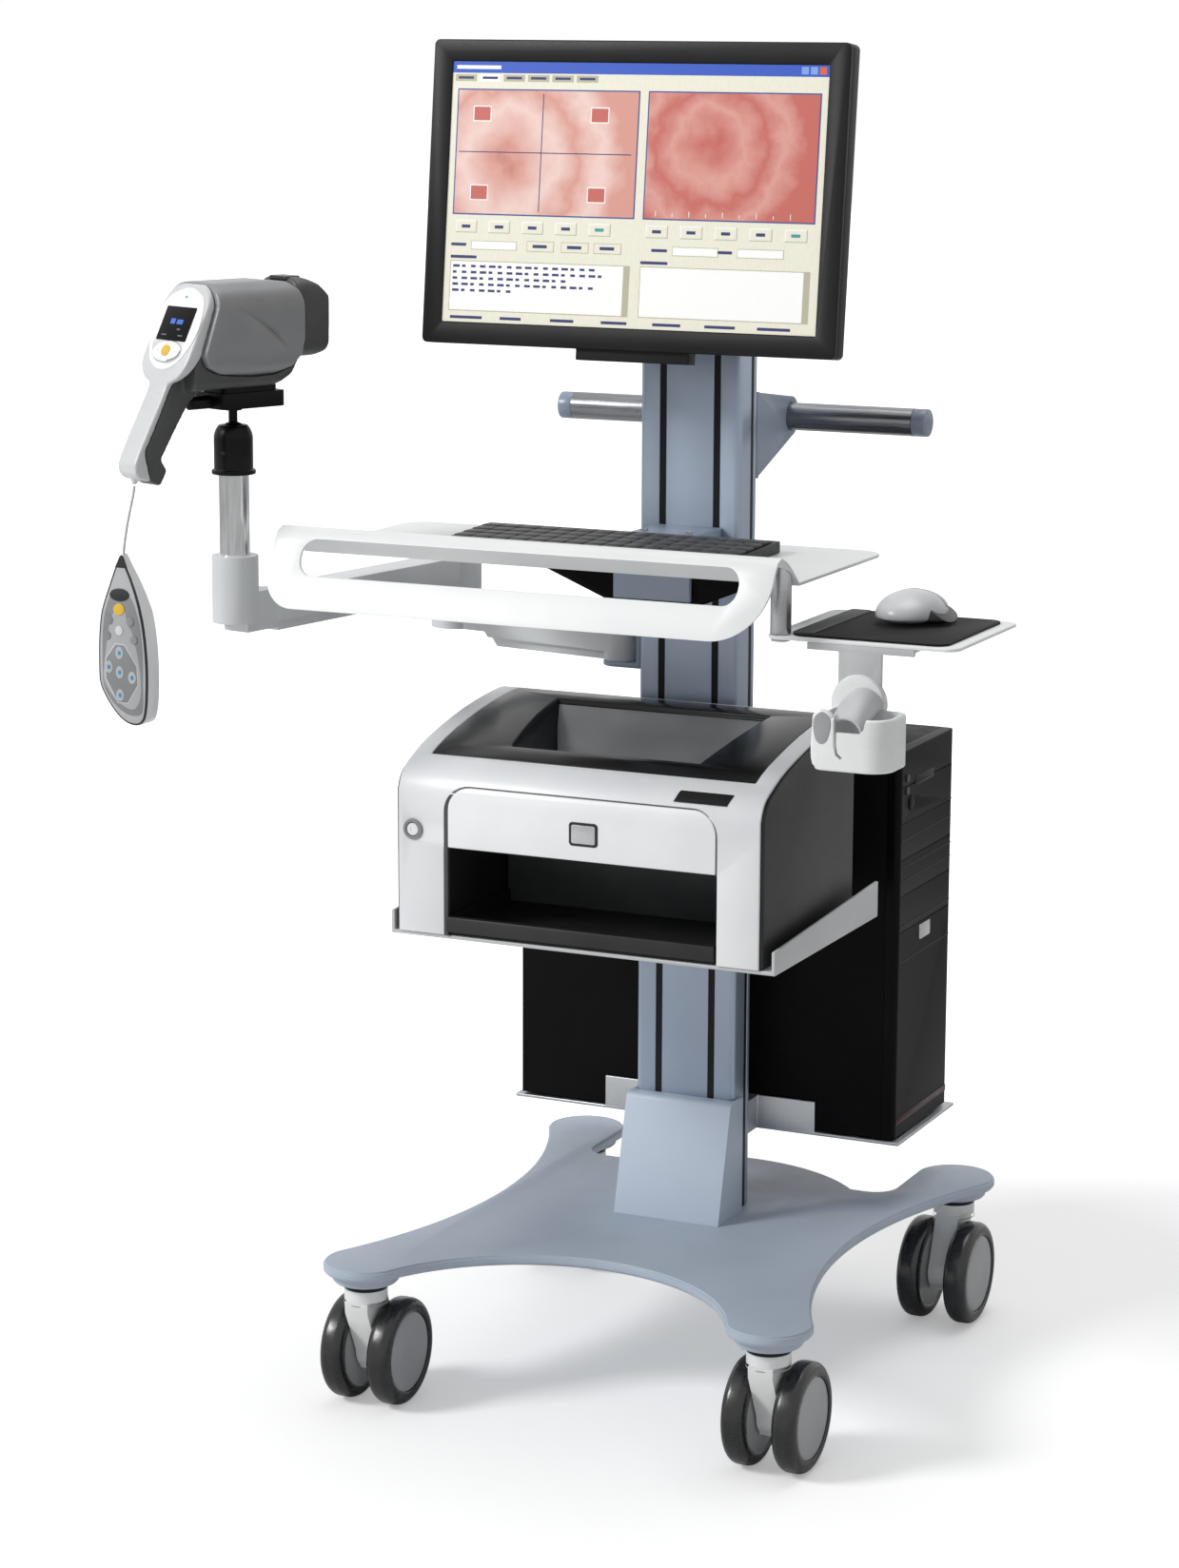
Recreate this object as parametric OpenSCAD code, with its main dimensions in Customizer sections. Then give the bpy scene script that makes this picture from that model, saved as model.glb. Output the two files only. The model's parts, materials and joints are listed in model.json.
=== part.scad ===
// Video colposcope on a wheeled stand: camera head with a hand remote on a
// jointed arm, monitor, keyboard and mouse trays, cradle, printer and computer.
// Origin on the floor under the middle of the column, +Z up, operator at -Y.

/* [Base] */
// Distance of the castor stems from the middle, across
castor_x = 200; // [180:1:225]
// Distance of the front castor stems in front of the middle
castor_front = 288; // [265:1:310]
// Distance of the rear castor stems behind the middle
castor_rear = 192; // [175:1:210]
// Radius of the lobe over each castor
lobe_r = 39; // [36:1:48]
// How far the front edge is drawn in between its lobes
front_bay = 90; // [60:1:95]
// Depth of the two nooks beside the round middle of the rear edge
rear_bay = 84; // [70:1:95]
// Radius of the round middle of the rear edge
rear_round = 170; // [160:1:178]
// How far each side is drawn in, past the stem line
side_bay = 18; // [5:1:24]
// Thickness of the base plate
base_t = 10; // [8:1:18]
// Height of the underside of the base plate
base_z = 130; // [124:1:140]

/* [Castors] */
// Wheel diameter
wheel_d = 100; // [80:1:104]
// Width of one wheel of a twin pair
wheel_w = 23; // [18:1:24]
// Distance between the middles of the two wheels of a pair
wheel_pitch = 48; // [48:1:54]
// How far the axle trails behind the stem
trail = 20; // [12:1:26]
// Diameter of the grey disc on each wheel
hub_d = 75; // [60:1:80]
// Diameter of the top ring of the castor housing
ring_d = 40; // [36:1:46]
// Diameter of the pad under the base plate
pad_d = 61; // [50:1:70]

/* [Column] */
// Width of the column
col_w = 101; // [90:1:112]
// Distance of the column's front face in front of the middle
col_front = 18; // [15:1:22]
// Distance of the column's rear face behind the middle
col_rear = 22; // [18:1:26]
// Height of the top of the column above the floor
col_top = 1130; // [1110:1:1160]
// Wall thickness of the column
col_wall = 3.5; // [2.5:0.5:5]
// Width of the slots in the column
slot_w = 6.5; // [5:0.5:8]
// Distance of the front slots from the middle
slot_x = 27; // [22:1:32]
// Height of the foot wedge above the base plate
foot_h = 112; // [90:1:130]
// How far the foot wedge reaches in front of the column, at the bottom
foot_reach = 42; // [30:1:55]

/* [Handle] */
// Diameter of the handle bar
bar_d = 26; // [22:1:30]
// Length of the handle bar with its caps
bar_len = 376; // [340:2:420]
// Distance of the handle bar behind the middle
bar_y = 106; // [95:1:120]
// Height of the handle bar
bar_z = 890; // [870:1:905]

/* [Monitor] */
// Width of the monitor
mon_w = 401; // [380:1:420]
// Height of the monitor
mon_h = 271; // [255:1:285]
// Depth of the monitor
mon_d = 36; // [30:1:44]
// Lean of the monitor to the rear, in degrees
mon_lean = 6.3; // [0:0.1:10]
// Distance of the monitor's lower front edge in front of the middle
mon_y = 155; // [150:1:170]
// Height of the monitor's lower front edge
mon_z = 970; // [960:1:980]
// Sideways offset of the monitor, to the left
mon_off = 6; // [0:1:12]
// Width of the black frame round the screen
mon_rim = 19; // [14:1:24]

/* [Keyboard tray] */
// Width of the tray
tray_w = 477; // [440:1:500]
// Sideways offset of the tray, to the left
tray_off = 28; // [15:1:40]
// Height of the top of the flat of the tray
tray_z = 792; // [785:1:800]
// Distance of the tray's rear edge in front of the middle
tray_back = 58; // [56:1:66]
// Distance of the tray's ridge in front of the middle
ridge_y = 308; // [300:1:316]
// Height of the ridge above the flat
ridge_h = 26; // [20:1:32]
// Height of the hanging flap below the flat
flap_drop = 42; // [34:1:48]
// Thickness of the sheet
sheet_t = 3; // [2:0.5:4]
// Width of the hand slot
hand_slot_w = 417; // [380:1:430]
// Height of the hand slot
hand_slot_h = 31; // [26:1:34]

/* [Keyboard and mouse] */
// Width of the keyboard
kb_w = 287; // [270:1:300]
// Depth of the keyboard
kb_d = 134; // [128:1:140]
// Distance between the middles of two keys
key_pitch = 18.6; // [18:0.1:19]
// Width of the mouse tray
pad_w = 172; // [160:1:190]
// Depth of the mouse tray
pad_l = 162; // [150:1:170]
// Height of the top of the mouse tray
pad_z = 749.5; // [744:0.5:750]
// Diameter of the post that the mouse tray hangs on
post_d = 18; // [14:1:20]
// Width of the mouse
mouse_w = 60; // [52:1:66]
// Length of the mouse
mouse_l = 90; // [80:1:100]
// Height of the mouse
mouse_h = 29; // [24:1:34]

/* [Cradle] */
// Width of the cradle cup
cup_w = 77; // [70:1:84]
// Depth of the cradle cup
cup_d = 50; // [44:1:56]
// Height of the cradle cup
cup_h = 47; // [40:1:52]
// Diameter of the cradle's turning disc
disc_d = 58; // [50:1:62]

/* [Arm] */
// Distance of the elbow from the middle, to the left
elbow_x = 268; // [262:1:275]
// Distance of the elbow behind the middle
elbow_y = 36; // [30:1:42]
// Distance of the pole from the middle, to the left
pole_x = 326; // [320:1:335]
// Distance of the pole in front of the middle
pole_y = 290; // [282:1:298]
// Width of the arm links
link_w = 34; // [30:1:38]
// Height of the arm links
link_h = 36; // [32:1:36]
// Height of the underside of the inner link
link_z = 664; // [655:1:668]
// Diameter of the pole
pole_d = 27; // [22:1:30]
// Diameter of the socket that holds the pole
socket_d = 42; // [38:1:48]
// Height of the socket
socket_h = 61; // [50:1:66]

/* [Ball head] */
// Height of the middle of the ball
ball_z = 890; // [880:1:895]
// Diameter of the ball
ball_d = 30; // [26:1:30]
// Diameter of the ball housing
dome_d = 35; // [34.5:0.5:40]
// Height of the ball housing below the middle of the ball
dome_h = 32; // [26:1:36]

/* [Camera] */
// Direction in which the camera looks, in degrees from +X towards +Y
look = 68; // [60:1:76]
// Length of the camera from the foot of its grip to the front of its body
cam_l = 180; // [170:1:190]
// Height of the camera with its grip
cam_h = 175; // [174:1:178]
// Width of the camera body
cam_w = 78; // [74:1:86]
// Height of the top of the camera body above the floor
cam_top = 1030; // [1029:1:1036]
// Distance from the pole to the front of the body, along the view
cam_front = 53; // [48:1:56]
// Length of the lens hood in front of the body
hood_l = 37; // [30:1:44]
// Width of the lens hood
hood_w = 58; // [52:1:64]
// Height of the lens hood
hood_h = 71; // [64:1:74]
// Width of the camera's grip
grip_w = 27; // [24:1:32]
// Width of the camera's rear face
face_w = 67; // [62:1:70]
// Width of the camera's display
disp_w = 42; // [38:1:46]
// Height of the camera's display
disp_h = 32; // [28:1:34]

/* [Remote] */
// Length of the hand remote
rem_l = 150; // [140:1:160]
// Width of the hand remote
rem_w = 49; // [46:1:56]
// Thickness of the hand remote
rem_t = 20; // [16:1:24]
// Diameter of the cord of the hand remote
cord_d = 2.4; // [2:0.1:3]

/* [Printer] */
// Width of the printer
prn_w = 358; // [340:1:364]
// Distance of the printer's front in front of the middle
prn_front = 258; // [250:1:262]
// Distance of the printer's rear face in front of the middle
prn_back = 40; // [36:1:60]
// Height of the underside of the printer
prn_z = 447; // [440:1:455]
// Height of the printer
prn_h = 191; // [180:1:200]
// Width of the paper bay in the printer's front
bay_w = 266; // [240:1:276]
// Height of the top of the paper bay above the printer's underside
bay_h = 81; // [70:1:90]
// Room on the printer shelf to each side of the printer
shelf_room = 9; // [7:0.5:20]
// Height of the shelf's side lips at the front
lip_front = 18; // [12:1:22]
// Height of the shelf's side lips at the rear
lip_rear = 30; // [24:1:36]

/* [Computer] */
// Length of the computer case
pc_l = 393; // [370:1:410]
// Width of the computer case
pc_w = 147; // [140:1:160]
// Height of the computer case
pc_h = 375; // [350:1:390]
// Sideways offset of the computer, to the left
pc_off = 12.5; // [5:0.5:20]
// Distance of the computer behind the middle
pc_y = 60; // [58:1:66]
// Height of the underside of the computer
pc_z = 210; // [200:1:225]
// Thickness of the computer's front panel
pc_face = 13; // [10:1:18]

/* [Hidden] */
$fn = 64;

// Overrun of every cut, clearance between loose pieces, clearance of a running fit
over = 1;
gap = 0.3;
fit_gap = 0.05;

// Base and castors
rim_step = 2;
nook_r = 22;
rear_round_back = 8;
rim_in = 1.6;
bay_cut = 0.3;
bay_fn = 128;
base_top = base_z + base_t;
stem_d = 12;
stem_depth = 8;
stem_rise = 26;
collar_d = 43;
collar_h = 6;
pad_h = 9;
ring_h = 10.5;
ring_top = base_z - pad_h - collar_h - gap;
side_gap = 0.8;
neck_w = wheel_pitch - wheel_w - 2 * side_gap;
fork_r = 19;
axle_d = 8;
axle_short = 6;
axle_z = wheel_d / 2;
hub_gap = 0.1;
hub_recess = 1.2;
hub_rim = 4;
tread_r = 8;
CASTORS = [[-castor_x, -castor_front, 1], [castor_x, -castor_front, 1],
    [-castor_x, castor_rear, -1], [castor_x, castor_rear, -1]];

// Column and its foot
corner_r = 6;
slot_depth = 8;
strip_t = 3;
strip_in = 0.5;
cheek_t = 3.5;
foot_top_reach = 12;
foot_round = 6;
foot_wrap = 16;
foot_wall = 4;

// Handle
gusset_t = 5;
gusset_rise = 30;
gusset_drop = 50;
gusset_turn = 60;
ear_r = 19;
bar_wall = 2;
cap_l = 14;
cap_plug = 20;

// Monitor and its mount
head_w = 60;
head_d = 16;
head_h = 50;
cap_t = 3;
lug_t = 6;
pin_d = 12;
yoke_r = 15;
knuckle_w = 20;
ear_t = 6;
vesa_w = 100;
vesa_t = 4;
rim_t = 6;
screen_t = 3;
screen_in = 1.5;
mon_wall = 2.5;
mon_corner = 5;
hump_in = 45;
hump_d = 14;
chin_w = 110;
chin_h = 10;
chin_d = 16;
yoke_y = -col_front - head_d - yoke_r;
tilt_back = 20;
mon_mid = mon_h / 2;
tilt_y = -mon_y + mon_d + mon_mid * sin(mon_lean) + tilt_back;
tilt_z = mon_z + mon_mid;

// Keyboard tray and its bracket
clamp_w = 66;
clamp_t = 6;
clamp_reach = 104;
arm_w = 76;
arm_drop = 49;
beam_w = 280;
beam_flat = 72;
beam_drop = 56;
beam_tip = 14;
beam_front = 100;
beam_back = 62;
nose_r = 12;
flap_lean = 42;
ramp_l = 40;
ramp_share = [[0, 0], [0.55, 0.68], [1, 1]];
nose_share = [[0.75, 0.3], [1.25, 0.95]];
tray_corner = 25;
flap_corner_left = 30;
flap_corner_right = 50;
slot_corner = 14;
slot_off = 28.5;
slot_rise = 28;
tray_left = -tray_off - tray_w / 2;
tray_right = tray_left + tray_w;
tray_low = tray_z - sheet_t;

// Keyboard
kb_off = 14.5;
kb_back = 111;
kb_front_h = 6.5;
kb_back_h = 11;
key_rows = 6;
key_cols = 15;
key_gap = 0.8;
key_h = 4.5;
key_sink = 1.8;
key_room = 4.4;
space_first = 4;
space_last = 9;
kb_left = -kb_off - kb_w / 2;
kb_front = -kb_back - kb_d;
kb_side = (kb_w - key_cols * key_pitch) / 2;
kb_edge = (kb_d - key_rows * key_pitch) / 2;

// Mouse tray and mouse
post_x = 200;
post_y = 283;
post_neck_d = 11;
post_head_d = 16;
post_head_t = 2.5;
pad_left = 10;
pad_front = 13;
pad_t = 3;
pad_corner = 12;
mat_t = 2;
mat_edge = 7;
mat_side = 12;
mouse_x = 281;
mouse_y = 180;
mouse_arch = 35;
mouse_groove = 0.6;
mouse_seam = 13;
mouse_key_l = 38;

// Cradle
hanger_x = 277;
hanger_w = 39;
hanger_flange_w = 96;
hanger_lip = 6;
hanger_t = 3;
hanger_ledge = 39;
disc_z = 698;
disc_t = 10;
disc_pin_d = 12;
disc_washer_d = 22;
cup_wall = 3;
cup_corner = 14;
cup_back_corner = 4;
cup_drop = 48;
cup_off = 13;
notch_w = 12;
notch_h = 30;
notch_corner = 5;
prong_w = 15;
prong_rise = 20;
prong_t = 12;
hanger_y = -post_y - pad_front + hanger_t;
cup_x = hanger_x + cup_off;
cup_y = hanger_y - hanger_t - gap - disc_t;
cup_low = disc_z - cup_drop;

// Arm
shoulder_x = 78;
shoulder_y = 4;
lug_r = 17;
elbow_r = 25;
arm_pin_d = 14;
fork_t = 5;
link_thin = 22;
link_step = 12;
link_in = 1;
rail_h = 9;
rail_w = 20;
taper_from = 55;
taper_to = 44;
sole_in = 3;
neck_l = 42;
neck_rise = 3;
socket_drop = 24;
socket_floor = 8;
spigot_d = 14;
spigot_h = 4;
outer_z = link_z + link_h + link_step;
outer_top = outer_z + link_h;
socket_z = link_z + link_h + socket_drop;
shoulder = [-shoulder_x, shoulder_y];
elbow = [-elbow_x, elbow_y];
pole = [-pole_x, -pole_y];

// Ball head
dome_skirt_d = 39.5;
dome_skirt_h = 4;
open_share = 0.4;
neck_d = 8;
neck_h = 28;
flange_t = 3;
plate_l = 70;
plate_w = 46;
plate_off = 8;
plate_corner = 6;
pad_step = 5;
knob_d = 12;
knob_l = 22;
screw_d = 6;
screw_h = 6;
plate_z = ball_z + neck_h;

// Camera: outlines as shares of its length and height, from the foot of the grip
shell_share = [[0.38, 0.65], [0.467, 0.887], [0.478, 0.954], [0.494, 1], [0.856, 1],
    [0.95, 0.989], [0.989, 0.949], [1, 0.887], [1, 0.706], [0.983, 0.627], [0.933, 0.565],
    [0.844, 0.531], [0.706, 0.525], [0.494, 0.548], [0.41, 0.588]];
grip_share = [[0.972, 0.686], [0.996, 0.611], [0.944, 0.526], [0.878, 0.483], [0.839, 0.469],
    [0.628, 0.469], [0.517, 0.471], [0.45, 0.454], [0.383, 0.407], [0.297, 0.277],
    [0.208, 0.134], [0.242, 0.077], [0.225, 0.04], [0.2, 0], [0.144, 0.026], [0.111, 0.177],
    [0.178, 0.297], [0.272, 0.486], [0.339, 0.583], [0.38, 0.65]];
face_share = [[0.283, 0.609], [0.437, 0.926], [0.462, 0.977], [0.494, 1], [0.478, 0.954],
    [0.467, 0.887], [0.38, 0.65], [0.339, 0.583], [0.272, 0.486], [0.178, 0.297],
    [0.111, 0.177], [0.144, 0.026], [0.078, 0.043], [0.05, 0.074], [0.047, 0.117],
    [0.075, 0.18], [0.133, 0.289], [0.2, 0.409], [0.239, 0.486], [0.258, 0.546]];
hood_share = [[0, 0], [0.7, 0], [0.98, 0.07], [1, 0.76], [0.7, 0.92], [0.35, 1], [0, 1]];
shell_round = 24;
shell_drop = 86;
shell_wall = 4;
belly_w = 64;
belly_round = 10;
belly_from = 65;
hand_h = 105;
hood_rise = 1;
hood_round = 15;
hood_wall = 4;
lens_d = 34;
lens_drop = 35;
lens_wall = 2.5;
lens_back = 10;
lens_reach = 18;
lens_recess = 10;
glass_t = 4;
bezel_t = 2;
disp_rise = 20.5;
keypad_w = 40;
keypad_h = 20;
keypad_t = 2;
keypad_out = 1;
keypad_rise = 10.5;
gland_d = 6;
gland_h = 7.5;
cord_gap = 0.5;

// Remote and its cord: the route is in the camera's view direction and up
cord_route = [[-110, 856], [-110.6, 852], [-111.6, 848], [-112.8, 843.5], [-114.1, 839],
    [-115.4, 834.5], [-116.6, 830], [-117.8, 825.5], [-118.9, 821], [-119.9, 816.5],
    [-120.8, 812], [-121.6, 808], [-122.3, 804], [-122.8, 800], [-123, 796]];
cord_sides = 8;
cord_exit = cord_route[0];
cord_end = cord_route[len(cord_route) - 1];
remote_share = [[0, 0.1], [0.1, 0.22], [0.25, 0.55], [0.42, 0.83], [0.6, 0.98], [0.72, 1],
    [0.84, 0.93], [0.93, 0.72], [0.98, 0.4], [1, 0]];
remote_turn = 21;
edge_in = 4;
edge_t = 6;
field_in = 9;
field_depth = 1;
field_t = 1;

// Printer and its shelf
printer_share = [[0, 0], [0, 0.6], [0.005, 0.7], [0.046, 0.775], [0.12, 0.82], [0.275, 0.885],
    [0.6, 0.963], [0.91, 1], [1, 0.995]];
side_t = 3;
cover_t = 3;
bay_depth = 130;
bay_floor = 3;
lid_in = 21;
lid_front = 226;
lid_back = 46;
lid_t = 5;
lid_heel = 14;
lid_lip = 16.5;
well_w = 216;
well_low_w = 154;
well_front = 203;
well_back = 75;
well_knee = 142;
well_floor = 143;
well_sill = 154;
well_head = 185;
bin_h = 14;
bin_gap = 2;
bin_wall = 3;
switch_in = 18;
switch_rise = 95;
switch_d = 17;
switch_t = 8;
switch_room = 3;
switch_out = 1;
shelf_t = 3.5;
shelf_front = 256;
shelf_rear = 5;
shelf_flange = 55;
shelf_flange_in = 6;
printer_left = -prn_w / 2 - side_t;
printer_right = printer_left + prn_w;
switch_x = -printer_left - switch_in;
lid_w = prn_w - 2 * lid_in;
shelf_w = prn_w + 2 * shelf_room;
lid_left = (printer_left + printer_right - lid_w) / 2;
lid_right = lid_left + lid_w;

// Computer and its bracket
pc_wall = 1.5;
pc_foot_h = 2;
pc_foot_w = 12;
pc_foot_in = 14;
pc_base_t = 3;
pc_base_out = 6;
strap_h = 33;
strap_left = 117;
strap_right = 104;
strap_t = 3;
pc_round = 6;
drive_lines = 5;
drive_pitch = 35;
drive_line = 1.2;
pc_switch_d = 14;
pc_switch_in = 30;
pc_switch_drop = 52;
pc_switch_t = 6;
pc_left = -pc_off - pc_l / 2;
pc_right = pc_left + pc_l;
pc_shelf_z = pc_z - pc_foot_h - pc_base_t;

// Mouse: half widths and heights along its length
mouse_plan_share = [[0, 0.45], [0.06, 0.78], [0.25, 0.97], [0.5, 1], [0.75, 0.97], [0.93, 0.72],
    [1, 0.3]];
mouse_side_share = [[0, 0.3], [0.1, 0.58], [0.3, 0.9], [0.5, 1], [0.72, 0.88], [0.92, 0.5],
    [1, 0.2]];

// A point of a smooth curve between b and c
function curve(a, b, c, d, t) = 0.5 * (2 * b + (c - a) * t + (2 * a - 5 * b + 4 * c - d) * t * t
    + (3 * b - a - 3 * c + d) * t * t * t);
// A smooth open line through a few points, with n steps between each two
function smooth(p, n) = [for (i = [0:len(p) - 2]) for (k = [0:n - 1])
    curve(p[max(i - 1, 0)], p[i], p[i + 1], p[min(i + 2, len(p) - 1)], k / n), p[len(p) - 1]];
// The points of one arc
function arc(c, r, a, b, n) = [for (k = [0:n]) let (t = a + (b - a) * k / n)
    c + r * [cos(t), sin(t)]];
// The same points from the last to the first
function turned(p) = [for (i = [len(p) - 1:-1:0]) p[i]];
// The direction of a line at one of its points, and the side to its left
function way(p, i) = let (d = p[min(i + 1, len(p) - 1)] - p[max(i - 1, 0)]) d / norm(d);
function side_of(p, i) = [way(p, i)[1], -way(p, i)[0]];
// The same line moved sideways
function beside(p, t) = [for (i = [0:len(p) - 1]) p[i] - t * side_of(p, i)];
// Four equal corners
function four(r) = [r, r, r, r];

// A box between two corners
module box(a, b) {
    translate(a) cube(b - a);
}
// A flat outline in depth and height, pushed out from x0 to x1
module across(x0, x1) {
    translate([x0, 0, 0]) rotate([90, 0, 90]) linear_extrude(x1 - x0) children();
}
// A flat outline in width and height, pushed out from y0 to y1
module deep(y0, y1) {
    translate([0, y1, 0]) rotate([90, 0, 0]) linear_extrude(y1 - y0) children();
}
// A rectangle with round corners, given from the lower left, anticlockwise
module panel(a, b, r) {
    difference() {
        translate(a) square(b - a);
        corner(a, [1, 1], r[0]);
        corner([b[0], a[1]], [-1, 1], r[1]);
        corner(b, [-1, -1], r[2]);
        corner([a[0], b[1]], [1, -1], r[3]);
    }
}
// What a round corner takes off
module corner(p, s, r) {
    if (r > 0) translate(p) difference() {
        polygon([[-over * s[0], -over * s[1]], [r * s[0], -over * s[1]], [r * s[0], r * s[1]],
            [-over * s[0], r * s[1]]]);
        translate([r * s[0], r * s[1]]) circle(r);
    }
}
// Rods along Z, X and Y
module rod(x, y, z0, z1, d) {
    translate([x, y, z0]) cylinder(h = z1 - z0, d = d);
}
module rod_x(x0, x1, y, z, d) {
    translate([x0, y, z]) rotate([0, 90, 0]) cylinder(h = x1 - x0, d = d);
}
module rod_y(x, y0, y1, z, d) {
    translate([x, y1, z]) rotate([90, 0, 0]) cylinder(h = y1 - y0, d = d);
}

// Radius of the arc between two lobes that is drawn in by a bay
function bay_r(half, bay) = (half * half + bay * bay - lobe_r * lobe_r) / (2 * (bay + lobe_r));
// The way from a lobe towards the middle of an arc, just past its rim
function past(lobe, c, r) = lobe + (r + over) * (c - lobe) / norm(c - lobe);

// Outline of the base plate, four lobes with drawn-in sides, shrunk by a step
module base_outline(step) {
    r = lobe_r - step;
    grow = step + bay_cut;
    mid_y = (castor_rear - castor_front) / 2;
    front_r = bay_r(castor_x, front_bay);
    side_r = bay_r((castor_front + castor_rear) / 2, side_bay);
    front_c = [0, front_bay - castor_front - front_r];
    side_x = castor_x - side_bay + side_r;
    lobes = [[-castor_x, -castor_front], [castor_x, -castor_front], [castor_x, castor_rear],
        [-castor_x, castor_rear]];
    left_c = [-side_x, mid_y];
    right_c = [side_x, mid_y];
    nook = castor_x - lobe_r + grow;
    difference() {
        union() {
            for (c = lobes) translate(c) circle(r);
            polygon([past(lobes[0], left_c, r), lobes[0], past(lobes[0], front_c, r),
                past(lobes[1], front_c, r), lobes[1], past(lobes[1], right_c, r),
                past(lobes[2], right_c, r), lobes[2], lobes[3], past(lobes[3], left_c, r)]);
        }
        translate(front_c) circle(front_r + grow, $fn = bay_fn);
        difference() {
            panel([-nook, castor_rear - rear_bay - step], [nook, castor_rear + lobe_r],
                [nook_r + step, nook_r + step, 0, 0]);
            translate([0, -rear_round_back]) circle(rear_round - step, $fn = bay_fn);
        }
        for (s = [-1, 1]) translate([s * side_x, mid_y]) circle(side_r + grow, $fn = bay_fn);
    }
}

module base_plate() color("lightsteelblue") difference() {
    union() {
        translate([0, 0, base_z]) linear_extrude(base_t) base_outline(rim_in);
        translate([0, 0, base_z + rim_step]) linear_extrude(base_t - 2 * rim_step) base_outline(0);
    }
    for (c = CASTORS) rod(c[0], c[1], base_z - over, base_z + stem_depth, stem_d + 2 * fit_gap);
}

// Pad under the plate, black collar and steel stem of each castor
module castor_mounts() for (c = CASTORS) {
    color("lightsteelblue") difference() {
        rod(c[0], c[1], base_z - pad_h, base_z, pad_d);
        rod(c[0], c[1], base_z - pad_h - over, base_z + over, stem_d + 2 * fit_gap);
    }
    color("dimgray") rod(c[0], c[1], base_z - pad_h - collar_h, base_z - pad_h, collar_d);
    color("silver") rod(c[0], c[1], axle_z + stem_rise, base_z + stem_depth, stem_d);
}

// Housing of one castor, which turns on its stem and carries the axle
module castor_housing(c) {
    color("gainsboro") translate([c[0], c[1], 0]) difference() {
        union() {
            rod(0, 0, ring_top - ring_h, ring_top, ring_d);
            across(-neck_w / 2, neck_w / 2) scale([c[2], 1]) {
                translate([trail, axle_z]) circle(fork_r);
                polygon([[-ring_d / 2, ring_top - ring_h], [ring_d / 2, ring_top - ring_h],
                    [trail + fork_r, axle_z], [trail + fork_r / 2, axle_z - fork_r],
                    [trail - fork_r / 2, axle_z - fork_r],
                    [-ring_d / 2 + side_gap, ring_top - 2 * ring_h]]);
            }
        }
        rod(0, 0, axle_z + stem_rise - gap, ring_top + over, stem_d + 2 * fit_gap);
        rod_x(-ring_d, ring_d, c[2] * trail, axle_z, axle_d + 2 * fit_gap);
    }
}
module castor_housing_fl() castor_housing(CASTORS[0]);
module castor_housing_fr() castor_housing(CASTORS[1]);
module castor_housing_rl() castor_housing(CASTORS[2]);
module castor_housing_rr() castor_housing(CASTORS[3]);

// One pair of wheels: two tyres with round treads, two discs and their axle
module castor_wheels(c) {
    translate([c[0], c[1] + c[2] * trail, axle_z]) rotate([0, 90, 0]) {
        for (s = [-1, 1]) translate([0, 0, s * wheel_pitch / 2]) {
            color("dimgray") rotate_extrude()
                panel([hub_d / 2, -wheel_w / 2], [wheel_d / 2, wheel_w / 2], [0, tread_r, tread_r, 0]);
            color("lightgray") difference() {
                cylinder(h = wheel_w - 2 * hub_recess, d = hub_d - 2 * hub_gap, center = true);
                translate([0, 0, s * wheel_w / 2])
                    cylinder(h = 4 * hub_recess, d = hub_d - 2 * hub_rim, center = true);
            }
        }
        color("silver") cylinder(h = wheel_pitch + wheel_w - 2 * axle_short, d = axle_d, center = true);
    }
}
module castor_wheels_fl() castor_wheels(CASTORS[0]);
module castor_wheels_fr() castor_wheels(CASTORS[1]);
module castor_wheels_rl() castor_wheels(CASTORS[2]);
module castor_wheels_rr() castor_wheels(CASTORS[3]);

// Cross-section of the column: four slots and three hollow chambers
module column_outline() {
    half = col_w / 2;
    depth = col_front + col_rear;
    middle = slot_x - slot_w / 2 - col_wall;
    side_from = slot_x + slot_w / 2 + col_wall;
    difference() {
        panel([-half, -col_front], [half, col_rear], [corner_r, corner_r, corner_r / 2, corner_r / 2]);
        for (s = [-1, 1]) {
            translate([s * slot_x - slot_w / 2, -col_front - over]) square([slot_w, slot_depth + over]);
            translate([s * half - slot_depth, col_rear - slot_depth - slot_w])
                square([2 * slot_depth, slot_w]);
        }
        translate([-middle, col_wall - col_front]) square([2 * middle, depth - 2 * col_wall]);
        for (m = [0, 1]) mirror([m, 0]) translate([side_from, col_wall - col_front])
            square([half - col_wall - side_from, depth - 3 * col_wall - slot_depth - slot_w]);
    }
}

module column() color("lightsteelblue") {
    translate([0, 0, base_top]) linear_extrude(col_top - base_top) column_outline();
}

module column_strips() color("black") for (s = [-1, 1]) {
    front = strip_in - col_front;
    side = s * (col_w / 2 - strip_in - strip_t / 2);
    box([s * slot_x - slot_w / 2, front, base_top], [s * slot_x + slot_w / 2, front + strip_t, col_top]);
    box([side - strip_t / 2, col_rear - slot_depth - slot_w, base_top],
        [side + strip_t / 2, col_rear - slot_depth, col_top]);
}

module column_foot() color("aliceblue") {
    half = col_w / 2 + cheek_t;
    top = base_top + foot_h;
    toe = -col_front - foot_reach;
    brow = -col_front - foot_top_reach;
    difference() {
        across(-half, half) polygon(concat([[toe, base_top]],
            arc([brow + foot_round / 2, top - foot_round], foot_round, 165, 90, 4),
            [[foot_wrap - col_front, top], [foot_wrap - col_front, base_top]]));
        box([-col_w / 2, -col_front, base_top - over], [col_w / 2, col_rear, top + over]);
        across(-half + foot_wall, half - foot_wall) polygon([[toe + foot_wall, base_top - over],
            [brow + foot_wall, top - foot_wall - foot_round],
            [over - col_front, top - foot_wall - foot_round], [over - col_front, base_top - over]]);
    }
}

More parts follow.
